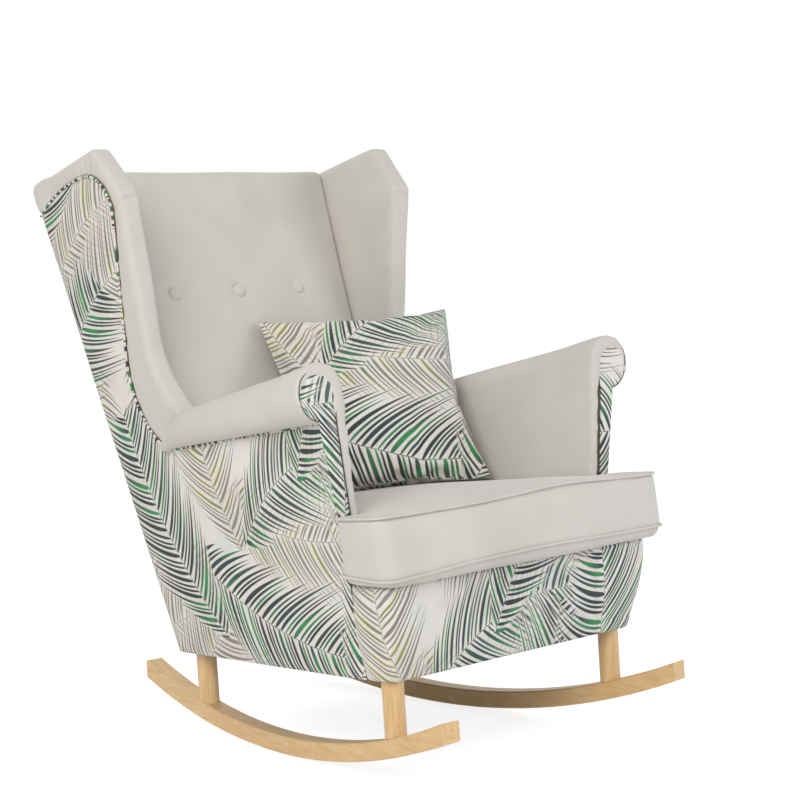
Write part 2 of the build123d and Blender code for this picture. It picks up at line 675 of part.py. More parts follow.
# Arm padding: the roll and the inner face, drawn between a front and a rear section
def arm_section(y, radius, seam_z, foot_x):
    centre_x = outer_x(y, seam_z) + ROLL_OVERHANG
    centre_z = seam_z + radius
    slant = radius * DIAGONAL
    with BuildSketch(upright_section(y)) as section:
        with BuildLine():
            Line((foot_x, RAIL_TOP), (centre_x - radius, centre_z))
            ThreePointArc((centre_x - radius, centre_z), (centre_x - slant, centre_z + slant),
                          (centre_x, centre_z + radius))
            ThreePointArc((centre_x, centre_z + radius), (centre_x + slant, centre_z + slant),
                          (centre_x + radius, centre_z))
            ThreePointArc((centre_x + radius, centre_z), (centre_x + slant, centre_z - slant),
                          (centre_x, seam_z))
            Polyline((centre_x, seam_z), (outer_x(y, seam_z, BOARD_INNER), seam_z),
                     (outer_x(y, RAIL_TOP, BOARD_INNER), RAIL_TOP), (foot_x, RAIL_TOP))
        make_face()
    return section.sketch


with BuildPart() as arm_end:
    extrude(wing_outline(), amount=REACH)

with BuildPart() as arm_pad:
    front_end = arm_section(ARM_FRONT, ROLL_RADIUS_FRONT, ROLL_SEAM_FRONT, ARM_FOOT_FRONT)
    rear_end = arm_section(ARM_REAR, ROLL_RADIUS_REAR, ROLL_SEAM_REAR, ARM_FOOT_REAR)
    loft([front_end, rear_end], ruled=True)
    for inside in (facing_board, front_panel, arm_rail, arm_end):
        add(inside.part, mode=Mode.SUBTRACT)
keep_pair("arm_pad", arm_pad.part)

# Printed outer back, and the printed apron that turns the front corners to the arm fronts
with BuildPart() as outer_back:
    side_profile(raked_layer(0, BACK_COVER_TOP, frame_rear_y, rear_y))
    split(bisect_by=outer_face(0), keep=Keep.BOTTOM)
    mirror(about=Plane.YZ)
keep("outer_back", outer_back.part)

with BuildPart() as front_apron:
    side_profile([(FACING_FRONT, 0), (BASE_FRONT, 0), (APRON_TOP_FRONT, BASE_HEIGHT),
                  (FACING_FRONT, BASE_HEIGHT)])
    split(bisect_by=outer_face(0), keep=Keep.BOTTOM)
    mirror(about=Plane.YZ)
    front_edges = front_apron.faces().sort_by(Axis.Y)[0].edges().sort_by(Axis.X)
    fillet(front_edges[:1] + front_edges[-1:], APRON_CORNER_ROUND)
    foot_edges = front_apron.faces().sort_by(Axis.Z)[0].edges()
    fillet([edge for edge in foot_edges if edge.center().Y < FACING_FRONT], APRON_EDGE_ROUND)
with BuildPart() as apron_hollow:
    side_profile([(FACING_FRONT, 0), (FRONT_RAIL_FACE, 0), (FRONT_RAIL_FACE, BASE_HEIGHT),
                  (FACING_FRONT, BASE_HEIGHT)])
    split(bisect_by=outer_face(COVER_THICKNESS), keep=Keep.BOTTOM)
    mirror(about=Plane.YZ)
with BuildPart() as apron:
    add(front_apron.part)
    add(apron_hollow.part, mode=Mode.SUBTRACT)
keep("front_apron", apron.part)

# Webbing bands stretched across the back posts
with BuildPart() as back_webbing:
    for i in range(BAND_COUNT):
        bottom = BAND_BOTTOM + i * BAND_STEP
        side_profile(raked_layer(bottom, bottom + BAND_WIDTH, band_front_y, post_front_y))
    split(bisect_by=outer_face(BAND_INSET), keep=Keep.BOTTOM)
    mirror(about=Plane.YZ)
keep("back_webbing", back_webbing.part)


# Inner back: crowned pad between the wings, rolled over the top rail, with three tufts
def back_section(z, crown, front_set_back, rear):
    half = wing_inner_x(z) - SOFT_GAP
    front = inner_back_y(z) + front_set_back
    with BuildSketch(Plane.XY.offset(z)) as section:
        with BuildLine():
            ThreePointArc((-half, front), (0, front - crown), (half, front))
            Polyline((half, front), (half, rear), (-half, rear), (-half, front))
        make_face()
    return section.sketch


def tuft_plane(x):
    """Plane at the bottom of a tuft, facing out of the padded back."""
    width = wing_inner_x(TUFT_HEIGHT)
    crown = BACK_CROWN_TUFTS * (1 - (x / width) ** 2)
    depth = inner_back_y(TUFT_HEIGHT) - crown + TUFT_DEPTH
    return Plane(origin=(x, depth, TUFT_HEIGHT), x_dir=(1, 0, 0), z_dir=(0, -1, INNER_RAKE))


BACK_FOOT = BASE_HEIGHT + SOFT_GAP
TUFTS = [tuft_plane(i * TUFT_SPACING) for i in (-1, 0, 1)]

with BuildPart() as back_body:
    crowns = ((BACK_FOOT, BACK_CROWN_FOOT), (BACK_LUMBAR_HEIGHT, BACK_CROWN_LUMBAR),
              (TUFT_HEIGHT, BACK_CROWN_TUFTS), (POST_TOP + SOFT_GAP, BACK_CROWN_TOP))
    loft([back_section(z, crown, 0, band_front_y(z)) for z, crown in crowns])

with BuildPart() as back_pad:
    shoulder = BACK_TOP - BACK_TOP_ROUND
    roll_foot = back_section(POST_TOP + SOFT_GAP, BACK_CROWN_TOP, 0, rear_y(POST_TOP))
    roll_shoulder = back_section(shoulder, BACK_CROWN_TOP, 0, rear_y(shoulder))
    roll_top = back_section(BACK_TOP, BACK_CROWN_TOP, BACK_TOP_ROUND, rear_y(BACK_TOP, BACK_TOP_ROUND))
    loft([roll_foot, roll_shoulder, roll_top], ruled=True)
    add(back_body.part)
    for plane in TUFTS:
        with BuildSketch(plane):
            Circle(BUTTON_DIAMETER / 2 + TUFT_BUTTON_GAP)
        with BuildSketch(plane.offset(TUFT_DEPTH + BACK_CROWN_TUFTS)):
            Circle(BUTTON_DIAMETER / 2 + TUFT_SLOPE_WIDTH)
        loft(mode=Mode.SUBTRACT)
keep("back_pad", back_pad.part)

with BuildPart() as back_buttons:
    for plane in TUFTS:
        with BuildSketch(plane):
            Circle(BUTTON_DIAMETER / 2)
        extrude(amount=BUTTON_HEIGHT)
    rims = back_buttons.edges().filter_by(GeomType.CIRCLE)
    crowns = [plane.offset(BUTTON_HEIGHT) for plane in TUFTS]
    fillet([rim for rim in rims
            if any(abs(crown.to_local_coords(rim.arc_center).Z) < SOFT_GAP for crown in crowns)],
           BUTTON_ROUND)
keep("back_buttons", back_buttons.part)


# Seat cushion: T-shaped box with bowed front, drawn-in sides and a crowned top
def cushion_plane(z, slope):
    """Plane at a height above the front of the base, falling to the rear."""
    fall = math.radians(slope)
    origin = (0, 0, z + CUSHION_UPPER_FRONT * math.tan(fall))
    return Plane(origin=origin, x_dir=(1, 0, 0), z_dir=(0, math.sin(fall), math.cos(fall)))


def cushion_section(z, slope, inset, half_width, front):
    side = half_width - inset
    front_edge = front + inset
    ear_rear = ARM_FRONT - CUSHION_SIDE_GAP - inset
    neck_front = ARM_FOOT_FRONT - CUSHION_SIDE_GAP - inset
    neck_rear = along_arm(CUSHION_REAR, ARM_FOOT_FRONT, ARM_FOOT_REAR) - CUSHION_SIDE_GAP - inset
    rear = CUSHION_REAR - inset
    r = CUSHION_CORNER_ROUND - inset
    k = r * (1 - DIAGONAL)
    rr = CUSHION_REAR_ROUND - inset
    kk = rr * (1 - DIAGONAL)
    with BuildSketch(cushion_plane(z, slope)) as section:
        with BuildLine():
            ThreePointArc((r - side, front_edge), (0, front_edge - CUSHION_FRONT_BOW),
                          (side - r, front_edge))
            for s in (1, -1):
                ThreePointArc((s * (side - r), front_edge), (s * (side - k), front_edge + k),
                              (s * side, front_edge + r))
                Polyline((s * side, front_edge + r), (s * side, ear_rear), (s * neck_front, ear_rear),
                         (s * neck_rear, rear - rr))
                ThreePointArc((s * neck_rear, rear - rr), (s * (neck_rear - kk), rear - kk),
                              (s * (neck_rear - rr), rear))
            Line((neck_rear - rr, rear), (rr - neck_rear, rear))
        make_face()
    return section.sketch


def crown_section(z, inset):
    half = along_arm(CUSHION_REAR, ARM_FOOT_FRONT, ARM_FOOT_REAR) - inset
    with BuildSketch(cushion_plane(z, CUSHION_TOP_SLOPE)) as section:
        with BuildLine():
            Polyline((-half, ARM_FRONT + inset), (half, ARM_FRONT + inset), (half, CUSHION_REAR - inset),
                     (-half, CUSHION_REAR - inset), close=True)
        make_face()
    return section.sketch


with BuildPart() as seat_cushion:
    lower = (CUSHION_LOWER_HALF_WIDTH, CUSHION_LOWER_FRONT)
    upper = (CUSHION_UPPER_HALF_WIDTH, CUSHION_UPPER_FRONT)
    levels = (
        (CUSHION_BOTTOM, 0, CUSHION_BOTTOM_INSET, *lower),
        (CUSHION_LOWER_SEAM, 0, 0, *lower),
        (CUSHION_WAIST, CUSHION_TOP_SLOPE / 2, CUSHION_WAIST_INSET, *upper),
        (CUSHION_UPPER_SEAM, CUSHION_TOP_SLOPE, 0, *upper),
        (CUSHION_SHOULDER, CUSHION_TOP_SLOPE, CUSHION_SHOULDER_INSET, *upper),
        (CUSHION_TOP, CUSHION_TOP_SLOPE, CUSHION_TOP_INSET, *upper),
    )
    loft([cushion_section(*level) for level in levels], ruled=True)
    crown_edge = crown_section(CUSHION_TOP, CROWN_EDGE_INSET)
    loft([crown_edge, crown_section(CUSHION_CROWN_TOP, CROWN_TOP_INSET)], ruled=True)
keep("seat_cushion", seat_cushion.part)


# Throw pillow: two crowned faces that meet in a seam with drawn-in sides
def pillow_plane():
    yaw = math.radians(PILLOW_YAW)
    lean = math.radians(PILLOW_LEAN)
    across = (math.cos(yaw), -math.sin(yaw), 0)
    facing = (-math.cos(lean) * math.sin(yaw), -math.cos(lean) * math.cos(yaw), math.sin(lean))
    return Plane(origin=PILLOW_CENTRE, x_dir=across, z_dir=facing)


def pillow_section(height, inset, draw):
    half = PILLOW_SIZE / 2 - inset
    ring = [(half, -half), (half, half), (-half, half), (-half, -half)]
    middles = [(half - draw, 0), (0, half - draw), (draw - half, 0), (0, draw - half)]
    with BuildSketch(pillow_plane().offset(height)) as section:
        with BuildLine():
            for i in range(4):
                ThreePointArc(ring[i], middles[i], ring[(i + 1) % 4])
        make_face()
    return section.sketch


with BuildPart() as throw_pillow:
    layers = (
        (0, 0, PILLOW_SIDE_DRAW),
        (PILLOW_SHOULDER_DEPTH, PILLOW_SHOULDER_INSET, PILLOW_SHOULDER_DRAW),
        (PILLOW_HALF_DEPTH, PILLOW_FACE_INSET, PILLOW_FACE_DRAW),
    )
    loft([pillow_section(*layer) for layer in layers])
    mirror(about=pillow_plane())
keep("throw_pillow", throw_pillow.part)

# Tip the level chair back to its resting angle, with the floor at z = 0 and the box centred on the origin
tipped = Location((0, 0, 0), (-REST_TILT, 0, 0))
box = Compound(children=[piece.moved(tipped) for piece in pieces.values()]).bounding_box()
resting = Location((0, -(box.min.Y + box.max.Y) / 2, -box.min.Z)) * tipped
for name, piece in pieces.items():
    placed = piece.moved(resting)
    placed.label = name
    export_step(placed, f"parts/{name}.step")
print(len(pieces), "pieces; overall", [round(v) for v in box.size])
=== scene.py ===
# %% [markdown]
# # A rocking wing armchair
# The chair has a wooden frame that nobody sees, velvet pads over it, printed covers outside, and two bent
# beech rockers below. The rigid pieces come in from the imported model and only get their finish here. Every
# soft piece is made again as cloth over padding, in the place that its solid holds.

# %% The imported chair
import json
import math

import bpy
import numpy as np
from mathutils import Matrix, Vector


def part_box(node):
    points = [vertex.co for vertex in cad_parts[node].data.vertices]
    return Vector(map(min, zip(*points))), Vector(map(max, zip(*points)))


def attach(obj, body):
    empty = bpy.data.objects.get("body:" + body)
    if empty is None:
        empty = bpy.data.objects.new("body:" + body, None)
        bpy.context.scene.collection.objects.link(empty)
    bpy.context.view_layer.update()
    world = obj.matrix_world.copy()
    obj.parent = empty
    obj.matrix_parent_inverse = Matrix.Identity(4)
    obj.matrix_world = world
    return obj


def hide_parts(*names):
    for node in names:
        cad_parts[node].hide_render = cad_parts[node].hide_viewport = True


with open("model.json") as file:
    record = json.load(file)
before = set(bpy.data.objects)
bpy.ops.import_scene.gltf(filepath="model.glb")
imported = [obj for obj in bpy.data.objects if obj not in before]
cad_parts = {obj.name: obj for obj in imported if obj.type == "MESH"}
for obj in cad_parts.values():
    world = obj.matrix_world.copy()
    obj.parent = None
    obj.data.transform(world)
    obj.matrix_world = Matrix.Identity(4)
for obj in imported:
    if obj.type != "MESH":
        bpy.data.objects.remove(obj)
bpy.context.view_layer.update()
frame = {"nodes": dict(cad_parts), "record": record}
nodes = frame["nodes"]
scene = bpy.context.scene

# %% [markdown]
# ## The chair's own level frame
# An upholsterer measures a chair standing level, but this one rests tipped back on its rockers. So sizes
# below are in millimetres on the level chair: x to the right from the front, y to the rear from midway
# between the legs, z up from the underside of the base. One turn and one shift, found from the dust cover
# under the base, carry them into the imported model.

# %% Level chair to packed chair
MM = 0.001
REST_TILT = math.radians(4.6)
DUST_COVER_FRONT = 276
DUST_COVER_REAR = 282
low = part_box("dust_cover")[0]
base_middle = Vector((0, low.y + DUST_COVER_FRONT * MM * math.cos(REST_TILT),
                      low.z + DUST_COVER_REAR * MM * math.sin(REST_TILT)))
tipped = np.array(Matrix.Rotation(-REST_TILT, 3, "X"))


def placed(points):
    """Points of the level chair in millimetres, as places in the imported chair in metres."""
    return np.asarray(points, float) * MM @ tipped.T + np.array(base_middle)


def levelled(points):
    """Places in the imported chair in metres, as points of the level chair in millimetres."""
    return (np.asarray(points, float) - np.array(base_middle)) @ tipped / MM


print("base middle at", [round(v, 4) for v in base_middle])

# %% [markdown]
# ## Camera
# The photograph looks at the chair's front left corner, from a little above the arms, through a longish
# lens. The lens shift only puts the chair where it stands in the picture.

# %% Camera


def new_object(name, data):
    """An object for some data, linked to the scene at the origin."""
    made = bpy.data.objects.new(name, data)
    scene.collection.objects.link(made)
    return made


CAMERA_TARGET = base_middle + Vector((0, 0.0453, 0.3419))
CAMERA_AZIMUTH = math.radians(-44.51)
CAMERA_ELEVATION = math.radians(7.13)
CAMERA_DISTANCE = 3.785
CAMERA_ROLL = math.radians(-0.62)
CAMERA_LENS = 96.84
CAMERA_SHIFT = (0.037, 0.0595)

camera = new_object("camera", bpy.data.cameras.new("camera"))
scene.camera = camera
camera.data.lens = CAMERA_LENS
camera.data.shift_x, camera.data.shift_y = CAMERA_SHIFT
camera.data.clip_end = 16 * CAMERA_DISTANCE
to_camera = Vector((math.sin(CAMERA_AZIMUTH) * math.cos(CAMERA_ELEVATION),
                    -math.cos(CAMERA_AZIMUTH) * math.cos(CAMERA_ELEVATION), math.sin(CAMERA_ELEVATION)))
aim = (-to_camera).to_track_quat("-Z", "Y").to_matrix() @ Matrix.Rotation(CAMERA_ROLL, 3, "Z")
camera.matrix_world = Matrix.Translation(CAMERA_TARGET + to_camera * CAMERA_DISTANCE) @ aim.to_4x4()
print("camera at", [round(v, 3) for v in camera.matrix_world.translation])

# %% [markdown]
# ## Colour and nodes
# Colours are written as sRGB hex values, the way a paint or cloth chart gives them, and shaders work in
# linear light, so one function converts them. Another adds a node, sets it and links it.

# %% Colour and node helpers


def linear(code):
    """An sRGB hex colour as linear red, green, blue and alpha."""
    parts = [int(code[i:i + 2], 16) / 255 for i in (1, 3, 5)]
    return tuple(c / 12.92 if c <= 0.04045 else ((c + 0.055) / 1.055) ** 2.4 for c in parts) + (1.0,)


def add(tree, kind, inputs=None, **settings):
    """Adds a node, with its settings, and with a value or a link for each named or numbered input."""
    node = tree.nodes.new(kind)
    for key, value in settings.items():
        setattr(node, key, value)
    for key, value in (inputs or {}).items():
        if isinstance(value, bpy.types.NodeSocket):
            tree.links.new(value, node.inputs[key])
        else:
            node.inputs[key].default_value = value
    return node


def set_stops(node, *stops):
    """Gives a colour ramp node its stops, each a place from 0 to 1 and a hex colour."""
    ramp = node.color_ramp
    while len(ramp.elements) < len(stops):
        ramp.elements.new(1.0)
    for element, (position, code) in zip(ramp.elements, stops):
        element.position = position
        element.color = linear(code)
    return node.outputs["Color"]


def new_material(name):
    """A material with no nodes yet, and its tree."""
    material = bpy.data.materials.new(name)
    material.use_nodes = True
    material.node_tree.nodes.clear()
    return material, material.node_tree


print("mid grey, #808080, is", round(linear("#808080")[0], 3), "in linear light")

# %% [markdown]
# ## Floor and light
# A pale floor runs up into a white background. The light is that of a photographer's tent: a large soft
# lamp high on the left, weaker ones on the right and behind, and an even surround. More light would make the
# background white too, but would bleach the pale velvet. So what the camera sees of the floor has a glow of
# its own, with only the shadow left on it.

# %% Floor, lamps and surround
FLOOR_SIZE = 14
LAMPS = {
    "key lamp": {"at": (-3.3, -1.9, 2.5), "size": 2.2, "power": 102, "colour": "#FFFFFF"},
    "fill lamp": {"at": (2.4, -3.2, 1.4), "size": 2.0, "power": 52, "colour": "#EAF2FF"},
    "rear lamp": {"at": (0.4, 2.8, 3.0), "size": 2.4, "power": 30, "colour": "#FFFFFF"},
}
LAMP_AIM = Vector((0, 0, 0.5))
SURROUND_LIGHT = 0.44
FLOOR_GLOW = 0.82


def seen_directly(tree):
    """1 for rays that show the background, from the camera, off a shiny face or through glass, else 0."""
    sight = add(tree, "ShaderNodeLightPath")
    seen = sight.outputs["Is Camera Ray"]
    for ray in ("Is Glossy Ray", "Is Transmission Ray"):
        seen = add(tree, "ShaderNodeMath", {0: seen, 1: sight.outputs[ray]}, operation="MAXIMUM").outputs[0]
    return seen


floor_mesh = bpy.data.meshes.new("floor")
half = FLOOR_SIZE / 2
floor_mesh.from_pydata([(-half, -half, 0), (half, -half, 0), (half, half, 0), (-half, half, 0)], [],
                       [(0, 1, 2, 3)])
new_object("floor", floor_mesh)
floor_paint, tree = new_material("pale floor paint")
lit = add(tree, "ShaderNodeBsdfDiffuse", {"Color": linear("#F4F4F4")})
seen_white = add(tree, "ShaderNodeEmission", {"Color": (1, 1, 1, 1), "Strength": FLOOR_GLOW})
seen_lit = add(tree, "ShaderNodeBsdfDiffuse", {"Color": linear("#B4B4B4")})
seen = add(tree, "ShaderNodeAddShader", {0: seen_white.outputs[0], 1: seen_lit.outputs[0]})
shown = add(tree, "ShaderNodeMixShader", {0: seen_directly(tree), 1: lit.outputs[0], 2: seen.outputs[0]})
add(tree, "ShaderNodeOutputMaterial", {"Surface": shown.outputs[0]})
floor_mesh.materials.append(floor_paint)

for name, lamp in LAMPS.items():
    light = bpy.data.lights.new(name, "AREA")
    light.energy = lamp["power"]
    light.size = lamp["size"]
    light.color = linear(lamp["colour"])[:3]
    holder = new_object(name, light)
    holder.location = lamp["at"]
    holder.rotation_euler = (LAMP_AIM - holder.location).to_track_quat("-Z", "Y").to_euler()

world = bpy.data.worlds.new("studio surround")
scene.world = world
world.use_nodes = True
tree = world.node_tree
tree.nodes.clear()
strength = add(tree, "ShaderNodeMix", {0: seen_directly(tree), 2: SURROUND_LIGHT, 3: 1.0})
background = add(tree, "ShaderNodeBackground", {"Color": (1, 1, 1, 1), "Strength": strength.outputs[0]})
add(tree, "ShaderNodeOutputWorld", {"Surface": background.outputs[0]})
scene.view_settings.view_transform = "Standard"
print("lamps:", ", ".join(LAMPS))

# %% [markdown]
# ## Velvet and plain cloths
# The plain velvet is a pale greige with a short pile. Pile that leans a little one way or the other makes
# broad, soft patches, and its fibres catch light at grazing angles. Hair strands could show that up close,
# but from across a room the shader's sheen gives it at no cost. Pile and weave are too fine to show from
# there, so the grain is drawn a few times coarser than it is.

# %% Velvet and plain cloths


def cloth_material(name, colours, patch_mm, grain_mm, grain_depth_mm, roughness, sheen):
    """A matt cloth whose colour drifts between three hex colours, with a fine grain."""
    material, tree = new_material(name)
    place = add(tree, "ShaderNodeTexCoord").outputs["Object"]
    patches = add(tree, "ShaderNodeTexNoise", {"Vector": place, "Scale": 1 / (patch_mm * MM), "Detail": 2.0})
    ramp = add(tree, "ShaderNodeValToRGB", {"Fac": patches.outputs["Fac"]})
    colour = set_stops(ramp, (0.3, colours[0]), (0.5, colours[1]), (0.72, colours[2]))
    grain = add(tree, "ShaderNodeTexNoise", {"Vector": place, "Scale": 1 / (grain_mm * MM), "Detail": 1.0})
    bump = add(tree, "ShaderNodeBump", {"Height": grain.outputs["Fac"], "Strength": 1.0,
                                        "Distance": grain_depth_mm * MM})
    surface = add(tree, "ShaderNodeBsdfPrincipled", {
        "Base Color": colour, "Roughness": roughness, "IOR": 1.46, "Specular IOR Level": 0.25,
        "Sheen Weight": sheen, "Sheen Roughness": 0.45, "Normal": bump.outputs["Normal"]})
    add(tree, "ShaderNodeOutputMaterial", {"Surface": surface.outputs[0]})
    return material


# Velvet is matt, with a pale bloom where its pile is seen from the side.
velvet = cloth_material("greige velvet", ("#C8C3BA", "#CFCAC1", "#CCC6BD"), patch_mm=170, grain_mm=1.6,
                        grain_depth_mm=0.12, roughness=0.9, sheen=0.3)
# A dark cord along each arm front's seam is painted seam shadow: a thin dark line beside the print, where the
# seam's shade falls.
seam_shadow_cord = cloth_material("dark cord for painted seam shadow", ("#2C3836", "#35423F", "#3F4A46"), patch_mm=30,
                             grain_mm=1.0, grain_depth_mm=0.1, roughness=0.8, sheen=0.0)
# Deck cloth is a plain weave, greyer than the velvet, seen only with the cushion out.
deck_cloth = cloth_material("deck cloth", ("#B7AFA4", "#BEB6AB", "#BBB3A9"), patch_mm=120, grain_mm=1.2,
                            grain_depth_mm=0.15, roughness=0.95, sheen=0.0)
# Non-woven cloth is pressed from fibres: black, felted and quite without shine.
dust_cloth = cloth_material("black non-woven cloth", ("#1B1B1B", "#202020", "#262626"), patch_mm=40,
                            grain_mm=1.0, grain_depth_mm=0.1, roughness=0.95, sheen=0.0)
# Webbing is a coarse brown tape, woven round rubber.
webbing = cloth_material("elastic webbing", ("#8F7A55", "#9A855F", "#A08B66"), patch_mm=30, grain_mm=2.0,
                         grain_depth_mm=0.3, roughness=0.95, sheen=0.0)
print("cloths:", ", ".join(cloth.name for cloth in (velvet, seam_shadow_cord, deck_cloth, dust_cloth, webbing)))

# %% [markdown]
# ## Beech, frame wood and zinc
# Beech is plain: faint long streaks along the grain and short darker flecks, which are drawn larger than
# life so that they show. The rockers' grain runs front to rear and that of the legs upright. Two photographs
# of boards could serve, but one noise stretched either way has no seams and fits any length.

# %% Beech, frame wood and zinc


def wood_material(name, colours, stretch, roughness, coat):
    """A wood with streaks drawn out along one axis; stretch is the streak's size in mm on each axis."""
    material, tree = new_material(name)
    place = add(tree, "ShaderNodeTexCoord").outputs["Object"]
    drawn = add(tree, "ShaderNodeVectorMath", {0: place, 1: [1 / (size * MM) for size in stretch]},
                operation="MULTIPLY")
    streaks = add(tree, "ShaderNodeTexNoise", {"Vector": drawn.outputs[0], "Scale": 1.0, "Detail": 3.0,
                                               "Roughness": 0.6})
    ramp = add(tree, "ShaderNodeValToRGB", {"Fac": streaks.outputs["Fac"]})
    colour = set_stops(ramp, (0.32, colours[0]), (0.5, colours[1]), (0.7, colours[2]))
    flecks = add(tree, "ShaderNodeTexNoise", {"Vector": drawn.outputs[0], "Scale": 4.0, "Detail": 0.0})
    fleck = add(tree, "ShaderNodeMapRange", {0: flecks.outputs["Fac"], 1: 0.66, 2: 0.74, 3: 1.0, 4: 0.9})
    tone = add(tree, "ShaderNodeVectorMath", {0: colour, "Scale": fleck.outputs[0]}, operation="SCALE")
    surface = add(tree, "ShaderNodeBsdfPrincipled", {
        "Base Color": tone.outputs[0], "Roughness": roughness, "IOR": 1.5, "Coat Weight": coat,
        "Coat Roughness": 0.3})
    add(tree, "ShaderNodeOutputMaterial", {"Surface": surface.outputs[0]})
    return material


# Lacquered beech is warm and pale, with a soft satin shine.
BEECH = ("#CFA770", "#D8B37E", "#DFBE8D")
rocker_beech = wood_material("lacquered beech, grain front to rear", BEECH, stretch=(7, 160, 7),
                             roughness=0.45, coat=0.15)
leg_beech = wood_material("lacquered beech, grain upright", BEECH, stretch=(7, 7, 120), roughness=0.45,
                          coat=0.15)
# Raw softwood is browner and has no shine.
frame_wood = wood_material("raw frame wood", ("#BC935F", "#CBA670", "#D5B484"), stretch=(12, 12, 180),
                           roughness=0.7, coat=0.0)

# Zinc plate is a bright grey metal, a little dull from its bath.
zinc, tree = new_material("bright zinc plate")
surface = add(tree, "ShaderNodeBsdfPrincipled", {"Base Color": linear("#C9CACB"), "Metallic": 1.0,
                                                 "Roughness": 0.35})
add(tree, "ShaderNodeOutputMaterial", {"Surface": surface.outputs[0]})
print("woods and metal:", ", ".join(m.name for m in (rocker_beech, leg_beech, frame_wood, zinc)))

# %% [markdown]
# ## Printed velvet
# The print is a loose pattern of palm fronds on a cream ground. A picture could be wrapped on, but a drawn
# rule stays sharp from near by. One frond is arithmetic on a place on the cloth: turn it to the stem, bend
# the stem, step along it from leaflet to leaflet, and ask whether the place lies inside the blade of the
# nearest one. Lengths are in metres of cloth.

# %% Sizes of a frond
TILE = 0.74
STEM_HALF_WIDTH, STEM_SOFTNESS, STEM_INK = 0.0009, 0.0005, 0.8
EDGE_SOFTNESS = 0.08
# A leaflet leans towards the tip at its root, and curls further as it goes out.
LEAN_AT_ROOT, CURL = 0.5, 4.2
# Leaflets swing closer and wider apart, those of the two sides are staggered, and each slips a little.
SWING, SWING_RATE, STAGGER, SLIP = 0.22, 1.7, 0.25, 0.3
# Leaflets grow to between 1.3 and 2.1 times the even length. Their blades swell early and taper late.
GROWTH_LEAST, GROWTH_SPREAD = 1.3, 0.8
TAPER_POWER, SWELL_POWER = 0.7, 0.3
# Ink fades towards the tips and differs from leaflet to leaflet.
TIP_FADE, INK_SPREAD = 0.1, 0.27
# A frond hides what lies under it up to the last fifth of its leaflets.
COVER_RISE = 5.0
# The two sides of a stem draw their chances from numbers this far apart, and so do the fronds.
SIDE_KEY, FROND_KEY = 57.3, 131.0
LEAST_LENGTH = 1e-6
print("leaflets", GROWTH_LEAST, "to", GROWTH_LEAST + GROWTH_SPREAD, "times their even length")

# %% [markdown]
# The tables list the steps in order. A step names its result, its operation, and what it works on: earlier
# results, the frond's own sizes, or numbers. One loop makes the maths nodes from them, inside a node group
# that every frond of the print shares.

# %% One printed frond
TO_LEAFLET = (
    ("across", "SUBTRACT", "U", "Place U"), ("x", "WRAP", "across", TILE / 2, -TILE / 2),
    ("up", "SUBTRACT", "V", "Place V"), ("y", "WRAP", "up", TILE / 2, -TILE / 2),
    ("cosine", "COSINE", "Turn"), ("sine", "SINE", "Turn"),
    ("x part", "MULTIPLY", "x", "cosine"), ("along", "MULTIPLY_ADD", "y", "sine", "x part"),
    ("y part", "MULTIPLY", "y", "cosine"), ("x back", "MULTIPLY", "x", "sine"),
    ("beside", "SUBTRACT", "y part", "x back"),
    ("along squared", "MULTIPLY", "along", "along"), ("bend", "MULTIPLY", "along squared", "Bow"),
    ("from stem", "SUBTRACT", "beside", "bend"),
    ("side", "SIGN", "from stem"), ("out", "ABSOLUTE", "from stem"),
    ("lean", "MULTIPLY_ADD", "out", CURL, LEAN_AT_ROOT), ("forward", "MULTIPLY", "lean", "out"),
    ("root", "SUBTRACT", "along", "forward"),
    ("share", "DIVIDE", "root", "Length"), ("from base", "ADD", "share", 0.5),
    ("from tip", "SUBTRACT", 1.0, "from base"), ("bell", "MULTIPLY", "from base", "from tip"),
    ("bell up", "MAXIMUM", "bell", 0.0), ("bell half", "POWER", "bell up", 0.5),
    ("longest", "MULTIPLY", "bell half", "Leaf"),
    ("steps", "DIVIDE", "root", "Spacing"), ("sway", "MULTIPLY_ADD", "steps", SWING_RATE, "Seed"),
    ("swing", "SINE", "sway"), ("uneven", "MULTIPLY_ADD", "swing", SWING, "steps"),
    ("place", "MULTIPLY_ADD", "side", STAGGER, "uneven"),
    ("number", "FLOOR", "place"), ("fraction", "FRACT", "place"), ("centred", "SUBTRACT", "fraction", 0.5),
    ("key", "MULTIPLY_ADD", "side", SIDE_KEY, "number"), ("own key", "ADD", "key", "Seed"),
)
